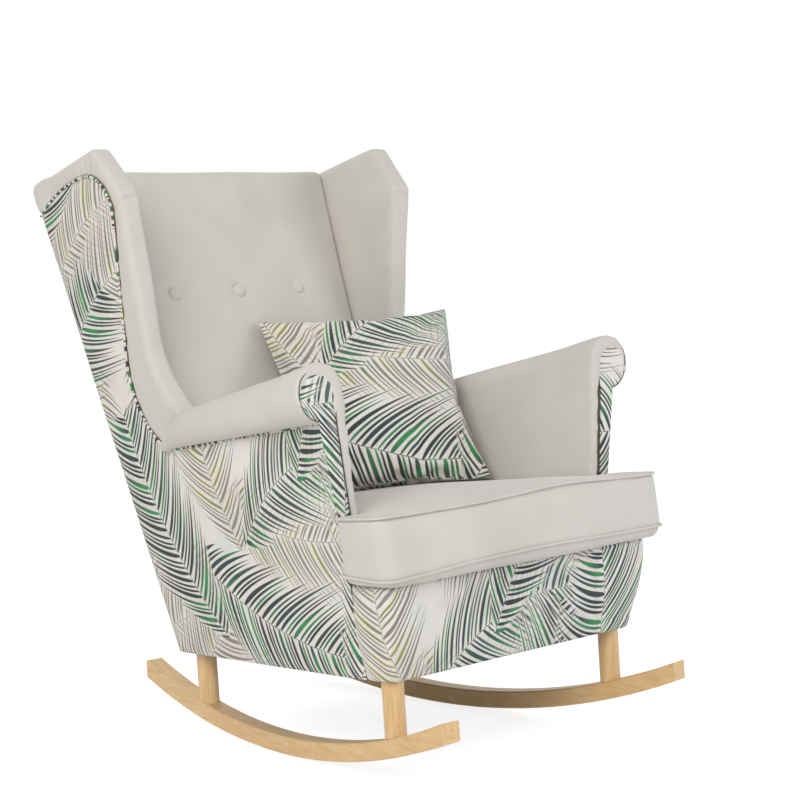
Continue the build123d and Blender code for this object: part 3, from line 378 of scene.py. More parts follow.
TO_MASK = (
    ("slip", "MULTIPLY_ADD", "chance three", SLIP, -SLIP / 2), ("shifted", "ADD", "centred", "slip"),
    ("off middle", "ABSOLUTE", "shifted"),
    ("growth", "MULTIPLY_ADD", "chance", GROWTH_SPREAD, GROWTH_LEAST),
    ("grown", "MULTIPLY", "longest", "growth"),
    ("length", "MAXIMUM", "grown", LEAST_LENGTH), ("to tip", "DIVIDE", "out", "length"),
    ("remaining", "SUBTRACT", 1.0, "to tip"), ("left", "MAXIMUM", "remaining", 0.0),
    ("taper", "POWER", "left", TAPER_POWER), ("swelling", "POWER", "to tip", SWELL_POWER),
    ("blade", "MULTIPLY", "taper", "swelling"), ("half width", "MULTIPLY", "blade", "Width"),
    ("inside", "SUBTRACT", "half width", "off middle"), ("sharp", "DIVIDE", "inside", EDGE_SOFTNESS),
    ("leaflet", "MINIMUM", "sharp", 1.0), ("leaflet up", "MAXIMUM", "leaflet", 0.0),
    ("stem inside", "SUBTRACT", STEM_HALF_WIDTH, "out"),
    ("stem sharp", "DIVIDE", "stem inside", STEM_SOFTNESS),
    ("along size", "ABSOLUTE", "along"), ("half stem", "MULTIPLY", "Length", 0.5),
    ("on stem", "LESS_THAN", "along size", "half stem"), ("stem cut", "MULTIPLY", "stem sharp", "on stem"),
    ("stem", "MINIMUM", "stem cut", STEM_INK), ("drawn", "MAXIMUM", "leaflet up", "stem"),
    ("reach", "MULTIPLY", "left", COVER_RISE), ("cover", "MINIMUM", "reach", 1.0),
    ("fade", "MULTIPLY_ADD", "to tip", TIP_FADE, "Tint"),
    ("tone", "MULTIPLY_ADD", "chance two", INK_SPREAD, "fade"),
)
FROND_SIZES = ("U", "V", "Place U", "Place V", "Turn", "Length", "Bow", "Leaf", "Spacing", "Width", "Tint",
               "Seed")

palm_frond = bpy.data.node_groups.new("palm_frond", "ShaderNodeTree")
for size in FROND_SIZES:
    palm_frond.interface.new_socket(size, in_out="INPUT", socket_type="NodeSocketFloat")
palm_frond.interface.new_socket("Colour", in_out="OUTPUT", socket_type="NodeSocketColor")
palm_frond.interface.new_socket("Mask", in_out="OUTPUT", socket_type="NodeSocketFloat")
palm_frond.interface.new_socket("Cover", in_out="OUTPUT", socket_type="NodeSocketFloat")
given = add(palm_frond, "NodeGroupInput")
results = {size: given.outputs[size] for size in FROND_SIZES}


def work_out(steps):
    """Adds a maths node for each step, fed by the results so far."""
    for result, operation, *terms in steps:
        inputs = {i: results.get(term, term) for i, term in enumerate(terms)}
        results[result] = add(palm_frond, "ShaderNodeMath", inputs, operation=operation).outputs[0]


work_out(TO_LEAFLET)
luck = add(palm_frond, "ShaderNodeTexWhiteNoise", {"W": results["own key"]}, noise_dimensions="1D")
parts = add(palm_frond, "ShaderNodeSeparateColor", {0: luck.outputs["Color"]})
results["chance"] = luck.outputs["Value"]
results["chance two"] = parts.outputs[1]
results["chance three"] = parts.outputs[2]
work_out(TO_MASK)
ramp = add(palm_frond, "ShaderNodeValToRGB", {"Fac": results["tone"]})
inks = set_stops(ramp, (0.0, "#0E2426"), (0.2, "#1D3A39"), (0.25, "#278C4A"), (0.3, "#243F3C"),
                 (0.42, "#4A6A60"), (0.5, "#98993A"), (0.57, "#7F7A6D"), (1.0, "#A39A8E"))
add(palm_frond, "NodeGroupOutput", {"Colour": inks, "Mask": results["drawn"], "Cover": results["cover"]})
print("palm_frond:", len(palm_frond.nodes), "nodes")

# %% [markdown]
# Thirteen such fronds, of several sizes and inks, make one tile of the print. It repeats every 74 cm on a
# cream ground with faint pink and cool washes, as hand-painted prints have. A frond in front holds back
# most of what lies under it, so that crossing leaflets do not read as a check.

# %% The printed velvet
FRONDS = (
    # place u, place v, turn in degrees, length, bow, longest leaflet, spacing, half width, tint
    (0.40, 0.35, -8, 0.42, 0.8, 0.125, 0.0115, 0.50, 0.40),
    (0.69, 0.14, 30, 0.38, -1.0, 0.120, 0.0115, 0.50, 0.44),
    (0.42, 0.57, -60, 0.38, 1.0, 0.120, 0.0115, 0.50, 0.47),
    (0.06, 0.08, 35, 0.42, 0.9, 0.130, 0.0120, 0.50, 0.48),
    (0.43, 0.03, 150, 0.38, -1.1, 0.115, 0.0115, 0.50, 0.50),
    (0.66, 0.46, -75, 0.40, 1.0, 0.125, 0.0117, 0.50, 0.46),
    (0.20, 0.50, 100, 0.38, -1.0, 0.120, 0.0115, 0.50, 0.44),
    (0.44, 0.46, 25, 0.40, -1.3, 0.130, 0.0118, 0.56, 0.11),
    (0.30, 0.20, -22, 0.44, 0.8, 0.140, 0.0124, 0.60, 0.00),
    (0.61, 0.27, 74, 0.40, 1.2, 0.130, 0.0120, 0.58, 0.02),
    (0.05, 0.34, 118, 0.44, -0.7, 0.140, 0.0124, 0.60, 0.00),
    (0.25, 0.66, 168, 0.44, 0.9, 0.140, 0.0124, 0.60, 0.00),
    (0.56, 0.63, 52, 0.42, -0.8, 0.135, 0.0120, 0.60, 0.01),
)
INK_STRENGTH = 0.95
HELD_BACK = 0.78
WASH_MM = 90.9

# Ink flattens the pile, so the print is as matt as the plain velvet but has less bloom.
print_velvet, tree = new_material("printed velvet")
place = add(tree, "ShaderNodeUVMap", uv_map="cloth").outputs["UV"]
axes = add(tree, "ShaderNodeSeparateXYZ", {0: place})
wash = add(tree, "ShaderNodeTexNoise", {"Vector": place, "Scale": 1 / (WASH_MM * MM), "Detail": 3.0})
ground = set_stops(add(tree, "ShaderNodeValToRGB", {"Fac": wash.outputs["Fac"]}),
                   (0.3, "#D9D8D4"), (0.46, "#E2DDD6"), (0.6, "#E0D8D1"), (0.76, "#DACEC8"))
printed = ground
for seed, frond in enumerate(FRONDS):
    u, v, turn, *sizes = frond
    values = dict(zip(FROND_SIZES[2:], (u, v, math.radians(turn), *sizes, seed * FROND_KEY)))
    leaf = add(tree, "ShaderNodeGroup", node_tree=palm_frond)
    for size, value in values.items():
        leaf.inputs[size].default_value = value
    tree.links.new(axes.outputs[0], leaf.inputs["U"])
    tree.links.new(axes.outputs[1], leaf.inputs["V"])
    held = add(tree, "ShaderNodeMath", {0: leaf.outputs["Cover"], 1: HELD_BACK}, operation="MULTIPLY")
    under = add(tree, "ShaderNodeMix", {0: held.outputs[0], 6: printed, 7: ground}, data_type="RGBA")
    ink = add(tree, "ShaderNodeMath", {0: leaf.outputs["Mask"], 1: INK_STRENGTH}, operation="MULTIPLY")
    layer = add(tree, "ShaderNodeMix", {0: ink.outputs[0], 6: under.outputs[2],
                                        7: leaf.outputs["Colour"]}, data_type="RGBA")
    printed = layer.outputs[2]
surface = add(tree, "ShaderNodeBsdfPrincipled", {
    "Base Color": printed, "Roughness": 0.9, "IOR": 1.46, "Specular IOR Level": 0.25, "Sheen Weight": 0.12,
    "Sheen Roughness": 0.45})
add(tree, "ShaderNodeOutputMaterial", {"Surface": surface.outputs[0]})
print("printed velvet:", len(FRONDS), "fronds to a tile of", TILE, "m")

# %% [markdown]
# ## Finishes of the rigid pieces
# Rockers, legs, frame and fasteners are shown as they were packed, because their shapes are already right.
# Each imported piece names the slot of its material, and the slot chooses the finish.

# %% Finishes of the rigid pieces
SLOT_FINISH = {"frame_wood": frame_wood, "spring_steel": zinc, "webbing": webbing, "deck_cloth": deck_cloth,
               "dust_cloth": dust_cloth, "plain_velvet": velvet, "printed_velvet": print_velvet}
for subpart in frame["record"]["subparts"]:
    node = nodes[subpart["node"]]
    if subpart["material_slot"] == "beech":
        finish = rocker_beech if "rocker" in subpart["node"] else leg_beech
    else:
        finish = SLOT_FINISH[subpart["material_slot"]]
    node.data.materials.clear()
    node.data.materials.append(finish)

# %% [markdown]
# ## Sizes of the upholstery
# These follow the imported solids. The outer faces are planes: the sides taper towards the rear and flare
# upwards, and the back rakes.

# %% Sizes of the upholstery
TAPER, FLARE, BACK_RAKE = (math.tan(math.radians(a)) for a in (6, 8, 13.3))
INNER_RAKE, WING_LEAN = (math.tan(math.radians(a)) for a in (18.9, 6.45))
BASE_HEIGHT, BASE_HALF_WIDTH, BASE_REAR = 157, 266, 303
INNER_BACK_FOOT = 127.5
WING_CLEAR_FOOT = 214.6
ARM_FRONT, ARM_REAR = -242, 215
ROLL_SEAM_FRONT, ROLL_SEAM_REAR = 417, 367
FACING_FRONT = -236
BACK_TOP = 863
SIDE_TOP, BACK_COVER_TOP = 792, 797


def outer_x(y, z):
    """Half width of the body at a place on its side."""
    return BASE_HALF_WIDTH - TAPER * y + FLARE * z


def rear_y(z):
    """Rear of the body at a height."""
    return BASE_REAR + BACK_RAKE * z


def inner_back_y(z):
    """Front of the padded back at a height, along its side seams."""
    return INNER_BACK_FOOT + INNER_RAKE * z


def wing_inner_x(z):
    """Half the clear width between the wings at a height."""
    return WING_CLEAR_FOOT + WING_LEAN * z


def along_arm(y, at_front, at_rear):
    """A size that changes evenly from the arm's front to its rear."""
    return at_front + (at_rear - at_front) * (y - ARM_FRONT) / (ARM_REAR - ARM_FRONT)


def roll_seam_z(y):
    """Height of the seam under the arm roll."""
    return along_arm(y, ROLL_SEAM_FRONT, ROLL_SEAM_REAR)


def rising(values, start, end):
    """0 up to the start, 1 from the end on, and an even rise between."""
    return np.clip((values - start) / (end - start), 0, 1)


print("body", round(2 * outer_x(ARM_FRONT, 0)), "mm wide at the foot of its arms and",
      round(2 * outer_x(rear_y(SIDE_TOP), SIDE_TOP)), "mm at the top of its back")

# %% [markdown]
# ## Outlines
# A pattern piece is drawn from straight runs, rounded corners and arcs, as with a ruler and a compass. All
# are then stepped into even points, so that edges of different pieces look alike.

# %% Outlines


def lengths_along(path):
    """The length from the start of a path to each of its points."""
    return np.concatenate(([0], np.cumsum(np.linalg.norm(np.diff(path, axis=0), axis=1))))


def resampled(path, spacing, closed=False, count=None):
    """Evenly spaced points along a path in two or three dimensions, a set count or as the spacing gives."""
    path = np.asarray(path, float)
    if closed:
        path = np.vstack((path, path[:1]))
    along = lengths_along(path)
    wanted = np.linspace(0, along[-1], count or max(3, round(along[-1] / spacing)) + 1)
    if closed:
        wanted = wanted[:-1]
    return np.stack([np.interp(wanted, along, column) for column in path.T], 1)


def rounded(corners, spacing, closed=True, count=None):
    """An outline of even points, from corners given as (x, y, rounding radius)."""
    path = []
    for i, (x, y, radius) in enumerate(corners):
        here = np.array((x, y), float)
        if radius == 0 or not closed and i in (0, len(corners) - 1):
            path.append(here)
            continue
        before, after = (np.array(corners[k % len(corners)][:2]) - here for k in (i - 1, i + 1))
        before, after = before / np.linalg.norm(before), after / np.linalg.norm(after)
        half_angle = math.acos(np.clip(before @ after, -1, 1)) / 2
        middle = before + after
        centre = here + middle / np.linalg.norm(middle) * radius / math.sin(half_angle)
        start, end = (here + way * radius / math.tan(half_angle) - centre for way in (before, after))
        for share in np.linspace(0, 1, 13):
            spoke = start * (1 - share) + end * share
            path.append(centre + spoke / np.linalg.norm(spoke) * radius)
    return resampled(path, spacing, closed, count)


def arc(start, middle, end, count=24):
    """Points of the circular arc from start through middle to end, in the plane."""
    (ax, ay), (bx, by), (cx, cy) = start, middle, end
    d = 2 * (ax * (by - cy) + bx * (cy - ay) + cx * (ay - by))
    a, b, c = ax * ax + ay * ay, bx * bx + by * by, cx * cx + cy * cy
    centre = np.array(((a * (by - cy) + b * (cy - ay) + c * (ay - by)) / d,
                       (a * (cx - bx) + b * (ax - cx) + c * (bx - ax)) / d))
    turns = [math.atan2(p[1] - centre[1], p[0] - centre[0]) for p in (start, middle, end)]
    to_middle, to_end = ((t - turns[0]) % math.tau for t in turns[1:])
    sweep = to_end if to_middle < to_end else to_end - math.tau
    radius = math.hypot(ax - centre[0], ay - centre[1])
    angles = turns[0] + np.linspace(0, sweep, count)
    return centre + radius * np.stack((np.cos(angles), np.sin(angles)), 1)


quarter_turn = lengths_along(arc((1, 0), (math.sqrt(0.5), math.sqrt(0.5)), (0, 1)))[-1]
print("a quarter turn measures", round(quarter_turn, 4), "and should be", round(math.pi / 2, 4))

# %% [markdown]
# ## Cutting cloth
# Covers are cut from a fine grid to an outline, as cloth is cut from the roll. A face filled by Blender would
# have long thin triangles that can't swell, and a grid can. Each of its points knows how far it lies from the
# edge, and that distance shapes the padding under it.

# %% Cutting cloth
RIM_REACH = 0.45


def grid_faces(index, flipped=False):
    """Square faces between neighbours in a table of point numbers."""
    a, b, c, d = index[:-1, :-1], index[:-1, 1:], index[1:, 1:], index[1:, :-1]
    return np.stack((a, d, c, b) if flipped else (a, b, c, d), -1).reshape(-1, 4)


def trimmed(points, faces):
    """Only the points that faces use, the faces renumbered to them, and which points they were."""
    used = np.unique(faces)
    renumber = np.zeros(len(points), int)
    renumber[used] = np.arange(len(used))
    return points[used], renumber[faces], used


def edge_distance(points, outline):
    """How far each point lies inside a closed outline, less than 0 outside, and the nearest place on it."""
    nearest_gap = np.full(len(points), np.inf)
    nearest = np.zeros_like(points)
    inside = np.zeros(len(points), bool)
    for a, step in zip(outline, np.roll(outline, -1, 0) - outline):
        from_a = points - a
        share = np.clip(from_a @ step / max(step @ step, 1e-9), 0, 1)
        foot = a + share[:, None] * step
        gap = np.linalg.norm(points - foot, axis=1)
        closer = gap < nearest_gap
        nearest_gap[closer] = gap[closer]
        nearest[closer] = foot[closer]
        spans = (a[1] > points[:, 1]) != (a[1] + step[1] > points[:, 1])
        inside ^= spans & (from_a[:, 0] < from_a[:, 1] * step[0] / (step[1] or 1.0))
    return np.where(inside, nearest_gap, -nearest_gap), nearest


def cut_cloth(outline, cell):
    """A grid cut to an outline: flat points, faces, and distances from the edge."""
    start = outline.min(0) - cell
    count = np.ceil((outline.max(0) + cell - start) / cell).astype(int) + 1
    lines = [start[k] + cell * np.arange(count[k]) for k in (0, 1)]
    flat = np.stack(np.meshgrid(*lines, indexing="ij"), -1).reshape(-1, 2)
    depth, nearest = edge_distance(flat, outline)
    # Points just outside are kept too, and then the rim is drawn onto the outline.
    kept = depth > -RIM_REACH * cell
    faces = grid_faces(np.arange(len(flat)).reshape(count), flipped=True)
    faces = faces[kept[faces].all(1)]
    uses = np.bincount(faces.ravel(), minlength=len(flat))
    rim = (uses > 0) & (uses < 4)
    flat[rim] = nearest[rim]
    depth[rim] = 0
    flat, faces, used = trimmed(flat, faces)
    return flat, faces, np.maximum(depth[used], 0)


swatch = cut_cloth(rounded([(0, 0, 20), (200, 0, 20), (200, 100, 20), (0, 100, 20)], 5), 5)
print("a 200 x 100 mm swatch has", len(swatch[1]), "faces, its middle", round(float(swatch[2].max())),
      "mm from the edge")

# %% [markdown]
# ## Making pieces
# Cloth over padding is never quite even, so covers get a slow ripple. A few sine waves in random directions
# do that, from a fixed seed, and give the same chair on each run. What is left is to turn points into a mesh,
# and to say what each soft piece stands for.

# %% Making pieces
RIPPLE_WAVES = 9


def ripple(points, wave_mm, seed):
    """A gentle unevenness about 0, from waves in many directions."""
    luck = np.random.default_rng(seed)
    total = np.zeros(len(points))
    for _ in range(RIPPLE_WAVES):
        way = luck.normal(size=points.shape[1])
        way *= math.tau / (wave_mm * luck.uniform(0.7, 1.5) * np.linalg.norm(way))
        total += np.sin(points @ way + luck.uniform(0, math.tau))
    return total / math.sqrt(RIPPLE_WAVES)


def new_piece(name, points, faces, material, cloth_place=None):
    """A smooth mesh from points of the level chair, with the place of each point on the cloth in metres."""
    mesh = bpy.data.meshes.new(name)
    faces = faces.tolist() if isinstance(faces, np.ndarray) else faces
    mesh.from_pydata(placed(points).tolist(), [], faces)
    mesh.materials.append(material)
    mesh.polygons.foreach_set("use_smooth", np.ones(len(mesh.polygons), bool))
    if cloth_place is not None:
        corner = np.empty(len(mesh.loops), int)
        mesh.loops.foreach_get("vertex_index", corner)
        mesh.uv_layers.new(name="cloth").uv.foreach_set("vector", np.asarray(cloth_place)[corner].ravel())
    return new_object(name, mesh)


def made_mesh(piece):
    """The mesh that a piece's modifiers make, as a mesh of its own."""
    graph = bpy.context.evaluated_depsgraph_get()
    return bpy.data.meshes.new_from_object(piece.evaluated_get(graph), preserve_all_data_layers=True,
                                           depsgraph=graph)


def put_through(piece, *modifiers):
    """Puts a piece through modifiers, given as (kind, settings), and keeps the mesh that comes out."""
    for kind, settings in modifiers:
        modifier = piece.modifiers.new(kind.lower(), kind)
        for key, value in settings.items():
            setattr(modifier, key, value)
    mesh = made_mesh(piece)
    piece.modifiers.clear()
    piece.data = mesh
    mesh.polygons.foreach_set("use_smooth", np.ones(len(mesh.polygons), bool))
    return piece


def upholster(piece, stands_for, body):
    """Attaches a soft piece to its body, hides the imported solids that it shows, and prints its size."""
    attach(piece, body)
    if stands_for:
        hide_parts(*stands_for)
    print(piece.name, len(piece.data.polygons), "faces")


unevenness = float(np.std(ripple(swatch[0], wave_mm=50, seed=1)))
print("a ripple of height 1 stands", round(unevenness, 2), "off its middle on the swatch")


# %% [markdown]
# ## Printed covers
# The outer sides, the outer back and the arm fronts are flat covers pulled over thin wadding. They tuck in at
# their edges and swell a little inside them. A cloth simulation would give that too, but here a curve of the
# distance from the edge is enough. Each takes its own area of the print, found by a shift of its place.

# %% Printed outer sides
COVER_CELL = 6
TUCK_WIDTH = 5
SIDE_STRETCH = math.sqrt(1 + TAPER**2 + FLARE**2)
REAR_INSET, FRONT_INSET = 3, 1
WING_SWEEP = arc((ARM_REAR, ROLL_SEAM_REAR), (272, 424), (291, 535))
ARCH_TOP = (320, 848)
WING_ARCH = np.vstack((arc((250, 785), (270, 830), ARCH_TOP), arc(ARCH_TOP, (400, 832), (487, SIDE_TOP))))


def tucked(depth, tuck, swell, run):
    """Height of a cover over its ground: tucked in at the edge, swelling further in."""
    return swell * (1 - np.exp(-depth / run)) - tuck * np.exp(-(depth / TUCK_WIDTH) ** 2)


def on_side(flat, height, sign):
    """Points on a side of the chair, from depth and height places, raised off its outer face."""
    y, z = flat.T
    outward = np.array((1, TAPER, -FLARE)) / SIDE_STRETCH
    return (np.stack((outer_x(y, z), y, z), 1) + height[:, None] * outward) * (sign, 1, 1)


def facing_out(faces, sign):
    """Faces as drawn for the side at +X, turned over for the other."""
    return faces if sign > 0 else faces[:, ::-1]


rear_seam = [(rear_y(z) - REAR_INSET, z) for z in (0, SIDE_TOP)]
front_y, front_z = ARM_FRONT + FRONT_INSET, BASE_HEIGHT + FRONT_INSET
front_seam = [(front_y, roll_seam_z(ARM_FRONT)), (front_y, front_z), (FACING_FRONT, front_z)]
side_outline = np.vstack(([(FACING_FRONT, 0)], rear_seam, WING_ARCH[::-1], WING_SWEEP[::-1], front_seam))
side_outline = resampled(side_outline, 8, closed=True)
flat, faces, depth = cut_cloth(side_outline, COVER_CELL)
for side, sign, shift in (("left", -1, (0.31, 0.12)), ("right", 1, (0.05, 0.40))):
    height = tucked(depth, tuck=1.5, swell=3.0, run=40) + 0.6 * ripple(flat, wave_mm=260, seed=3 + sign)
    cover = new_piece(f"outer_side_cover_{side}", on_side(flat, height, sign), facing_out(faces, sign),
                      print_velvet, flat * (sign * MM, MM) + shift)
    upholster(cover, [f"outer_side_{side}"], "chair")

# %% Printed outer back
BACK_COVER_INSET, BACK_COVER_CORNER = 2, 6
foot, top = (outer_x(rear_y(z), z) - BACK_COVER_INSET for z in (0, BACK_COVER_TOP))
back_outline = rounded([(x, z, BACK_COVER_CORNER) for x, z in (
    (-foot, 0), (foot, 0), (top, BACK_COVER_TOP), (-top, BACK_COVER_TOP))], 8)
flat, faces, depth = cut_cloth(back_outline, COVER_CELL)
height = tucked(depth, tuck=4.0, swell=4.0, run=50) + 0.7 * ripple(flat, wave_mm=260, seed=9)
points = np.stack((flat[:, 0], rear_y(flat[:, 1]) + height, flat[:, 1] - height * BACK_RAKE), 1)
cover = new_piece("outer_back_cover", points, faces[:, ::-1], print_velvet, flat * MM + (0.47, 0.22))
upholster(cover, ["outer_back"], "chair")

# %% [markdown]
# The arm fronts are teardrops: a slim foot that stands on the base and a round head over the arm's roll.

# %% Printed arm fronts
PANEL_CELL = 3.5
PANEL_FOOT = (294, BASE_HEIGHT)
ROLL_X, ROLL_Z, ROLL_RADIUS = outer_x(ARM_FRONT, ROLL_SEAM_FRONT) + 3, 464, 45.5
over_top = arc((ROLL_X - 34, 466), (ROLL_X + 2, 501), (ROLL_X + 41, 485))
round_edge = [(ROLL_X + ROLL_RADIUS * math.cos(a), ROLL_Z + ROLL_RADIUS * math.sin(a))
              for a in np.radians(np.linspace(24, -80, 24))]
panel_edge = np.vstack(([PANEL_FOOT, (ROLL_X - 29, 420)], over_top, round_edge))
panel_outline = resampled(np.vstack((panel_edge, [(outer_x(FACING_FRONT, BASE_HEIGHT), BASE_HEIGHT)])), 4,
                          closed=True)
flat, faces, depth = cut_cloth(panel_outline, PANEL_CELL)
for side, sign, shift in (("left", -1, (0.20, 0.05)), ("right", 1, (0.55, 0.33))):
    height = tucked(depth, tuck=0.5, swell=2.0, run=12)
    points = np.stack((sign * flat[:, 0], ARM_FRONT - height, flat[:, 1]), 1)
    cover = new_piece(f"arm_front_cover_{side}", points, facing_out(faces, sign), print_velvet,
                      flat * (sign * MM, MM) + shift)
    upholster(cover, [f"arm_front_panel_{side}"], "chair")

# %% [markdown]
# The apron is one strip that turns both front corners of the base, so no flat outline gives it. Rows of
# points run round it from seam to seam instead, from the turn under the base to the turn over the top rail.

# %% Printed apron
APRON_CORNER = 12
APRON_POINTS = 170
APRON_SEAM = FACING_FRONT + 8
APRON_FOOT, APRON_LEAN, APRON_SWELL = -300, 30, 4.5
FOOT_ROUND, LIP_ROUND = 5, 8
TURN_UNDER, TURN_OVER = (40, 24), (22, 40)
SEAM_TUCK, SEAM_RUN = 6, 30
RIPPLE_FOOT, RIPPLE_TOP = 20, 140
MIDDLE_ROW = 18


def apron_row(z, inset):
    """One row of the apron from its left seam to its right, set in from the outer faces."""
    front = APRON_FOOT - APRON_LEAN * z / BASE_HEIGHT + inset
    side, corner = outer_x(APRON_SEAM, z) - inset, outer_x(front, z) - inset
    row = rounded([(-side, APRON_SEAM, 0), (-corner, front, APRON_CORNER), (corner, front, APRON_CORNER),
                   (side, APRON_SEAM, 0)], 6, closed=False, count=APRON_POINTS)
    return np.column_stack((row, np.full(APRON_POINTS, z)))


quarter = np.radians(np.linspace(0, 90, 6))
foot_turn = [(FOOT_ROUND * (1 - math.cos(a)), FOOT_ROUND * (1 - math.sin(a))) for a in quarter]
top_turn = [(BASE_HEIGHT - LIP_ROUND * (1 - math.sin(a)), LIP_ROUND * (1 - math.cos(a))) for a in quarter]
wall = np.linspace(FOOT_ROUND, BASE_HEIGHT - LIP_ROUND, 26)[1:-1]
swell = -APRON_SWELL * np.sin(np.pi * (wall - FOOT_ROUND) / (BASE_HEIGHT - LIP_ROUND - FOOT_ROUND))
profile = ([(0, inset) for inset in TURN_UNDER] + foot_turn + list(zip(wall, swell)) + top_turn
           + [(BASE_HEIGHT, inset) for inset in TURN_OVER])
rows = np.array([apron_row(z, inset) for z, inset in profile])
around, up = lengths_along(rows[MIDDLE_ROW]), lengths_along(profile)
cloth_place = np.stack(np.broadcast_arrays(around[None, :], up[:, None]), -1).reshape(-1, 2)
points = rows.reshape(-1, 3)
on_wall = (points[:, 2] > RIPPLE_FOOT) & (points[:, 2] < RIPPLE_TOP)
points[:, 1] -= on_wall * ripple(points, wave_mm=220, seed=21)
# The ends run in behind the side covers.
at_ends = rising(points[:, 1], APRON_SEAM - SEAM_RUN, APRON_SEAM)
points[:, 0] -= SEAM_TUCK * np.sign(points[:, 0]) * at_ends ** 2
apron = new_piece("front_apron_cover", points, grid_faces(np.arange(len(points)).reshape(rows.shape[:2])),
                  print_velvet, cloth_place * MM + (0.13, 0.36))
upholster(apron, ["front_apron"], "chair")

# %% [markdown]
# ## Padded wings and arms
# Wings and arms are foam under stretched velvet. They could be sculpted by hand, but an even mesh of the
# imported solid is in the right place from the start. It is eased so that no edge is sharp, and then the seams
# and folds that an upholsterer leaves are pressed in.

# %% Soft copies, seams and folds
PAD_CELL = 4.0


def soft_copy(node, name, easing, cloth):
    """An even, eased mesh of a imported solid, in a cloth."""
    mesh = nodes[node].data.copy()
    mesh.transform(nodes[node].matrix_world)
    mesh.materials.clear()
    mesh.materials.append(cloth)
    return put_through(new_object(name, mesh), ("REMESH", {"mode": "VOXEL", "voxel_size": PAD_CELL * MM}),
                       ("SMOOTH", {"factor": 0.5, "iterations": easing}))


def points_of(piece):
    """The points of a piece on the level chair."""
    spots = np.empty(len(piece.data.vertices) * 3)
    piece.data.vertices.foreach_get("co", spots)
    return levelled(spots.reshape(-1, 3))


def raise_by(piece, heights):
    """Moves each point of a piece along its normal, by millimetres."""
    normals = np.empty(len(piece.data.vertices) * 3)
    piece.data.vertex_normals.foreach_get("vector", normals)
    spots = placed(points_of(piece)) + normals.reshape(-1, 3) * heights[:, None] * MM
    piece.data.vertices.foreach_set("co", spots.ravel())
    piece.data.update()


def line_distance(points, line):
    """How far each point lies from a line of straight steps."""
    line = np.asarray(line, float)
    gaps = np.full(len(points), np.inf)
    for a, step in zip(line[:-1], np.diff(line, axis=0)):
        share = np.clip((points - a) @ step / (step @ step), 0, 1)
        gaps = np.minimum(gaps, np.linalg.norm(points - a - share[:, None] * step, axis=1))
    return gaps


def press(piece, line, width, depth):
    """Presses a seam or fold into a soft piece, along a line on the level chair."""
    raise_by(piece, -depth * np.exp(-(line_distance(points_of(piece), line) / width) ** 2))


print("pads get an even mesh of", PAD_CELL, "mm")

# %% [markdown]
# The velvet of a wing is mitred at its front corner, gathered round its peak and dragged into short folds
# where its edge sweeps down to the arm.

# %% Wings


def wing_outside(y, z):
    """A place on the outer face of the wing at +X."""
    return outer_x(y, z), y, z


WING_FOLDS = (
    # line, width and depth: the mitre at the front corner, gathers at the peak, drag lines on the sweep
    ([(wing_inner_x(806), 222, 806), (outer_x(222, 800) - 4, 222, 800)], 4, 5.0),
    ([(outer_x(222, 800), 226, 799), wing_outside(246, 788)], 3, 2.0),
    ([wing_outside(312, 893), wing_outside(318, 850)], 5, 3.6),
    ([wing_outside(296, 884), wing_outside(304, 846)], 5, 2.6),
    ([wing_outside(330, 894), wing_outside(333, 856)], 5, 2.2),
    ([(outer_x(205, 500) - 20, 208, 500), wing_outside(250, 488)], 7, 2.6),
    ([(outer_x(195, 470) - 20, 194, 470), wing_outside(246, 458)], 7, 2.4),
    ([(outer_x(210, 540) - 20, 212, 540), wing_outside(258, 532)], 8, 2.0),
)
TAIL_RISE = 4.5
print("each wing has", len(WING_FOLDS), "folds")


def make_wing(side, sign):
    """A wing, with its folds, and fuller at its tail, where its cloth laps over the rear of the back."""
    wing = soft_copy(f"wing_pad_{side}", f"wing_{side}", easing=7, cloth=velvet)
    for line, width, depth in WING_FOLDS:
        press(wing, np.array(line) * (sign, 1, 1), width, depth)
    points = points_of(wing)
    at_tail = rising(points[:, 1], 440, 470) * rising(points[:, 2], 760, 790)
    raise_by(wing, 0.8 * ripple(points, wave_mm=170, seed=31 + sign) + TAIL_RISE * at_tail)
    upholster(wing, [f"wing_pad_{side}"], "chair")


# %% [markdown]
# An arm is fuller where its roll meets the front panel and where it runs in under the wing. Behind it a flap
# of its cover is pulled round the end of the rail inside, so the flap is a thickened copy of that rail's end.

# %% Arms and their flaps
FRONT_RISE, REAR_RISE = 3.0, 5.0
FLAP_THICKNESS, FLAP_FRONT = 4.0, 150


def make_arm(side, sign):
    """An arm with its roll."""
    arm = soft_copy(f"arm_pad_{side}", f"arm_{side}", easing=6, cloth=velvet)
    points = points_of(arm)
    at_front = rising(-points[:, 1], 150, 220) * rising(points[:, 2], 415, 445)
    at_rear = rising(points[:, 1], 190, 210)
    uneven = 0.8 * ripple(points, wave_mm=190, seed=41 + sign)
    raise_by(arm, uneven + FRONT_RISE * at_front + REAR_RISE * at_rear)
    upholster(arm, [f"arm_pad_{side}"], "chair")


def make_arm_flap(side):
    """The velvet round the rear end of an arm rail."""
    rail = soft_copy(f"arm_rail_{side}", "rail", easing=2, cloth=velvet)
    raise_by(rail, np.full(len(rail.data.vertices), FLAP_THICKNESS))
    points = points_of(rail)
    faces = np.array([face.vertices for face in rail.data.polygons])
    points, faces, _ = trimmed(points, faces[(points[faces][:, :, 1] > FLAP_FRONT).all(1)])
    bpy.data.objects.remove(rail)
    flap = new_piece(f"arm_flap_{side}", points, faces, velvet)
    upholster(flap, [], "chair")


for side, sign in (("left", -1), ("right", 1)):
    make_wing(side, sign)
    make_arm(side, sign)
    make_arm_flap(side)

# %% [markdown]
# ## Inner back
# The back is one crowned pad that rolls over the top rail and down behind it. Three covered buttons draw it
# in, and the cloth dimples and creases a little around each. Rows of points run over it from side seam to
# side seam, which lets formulas for the crown and the dimples shape it to the millimetre.

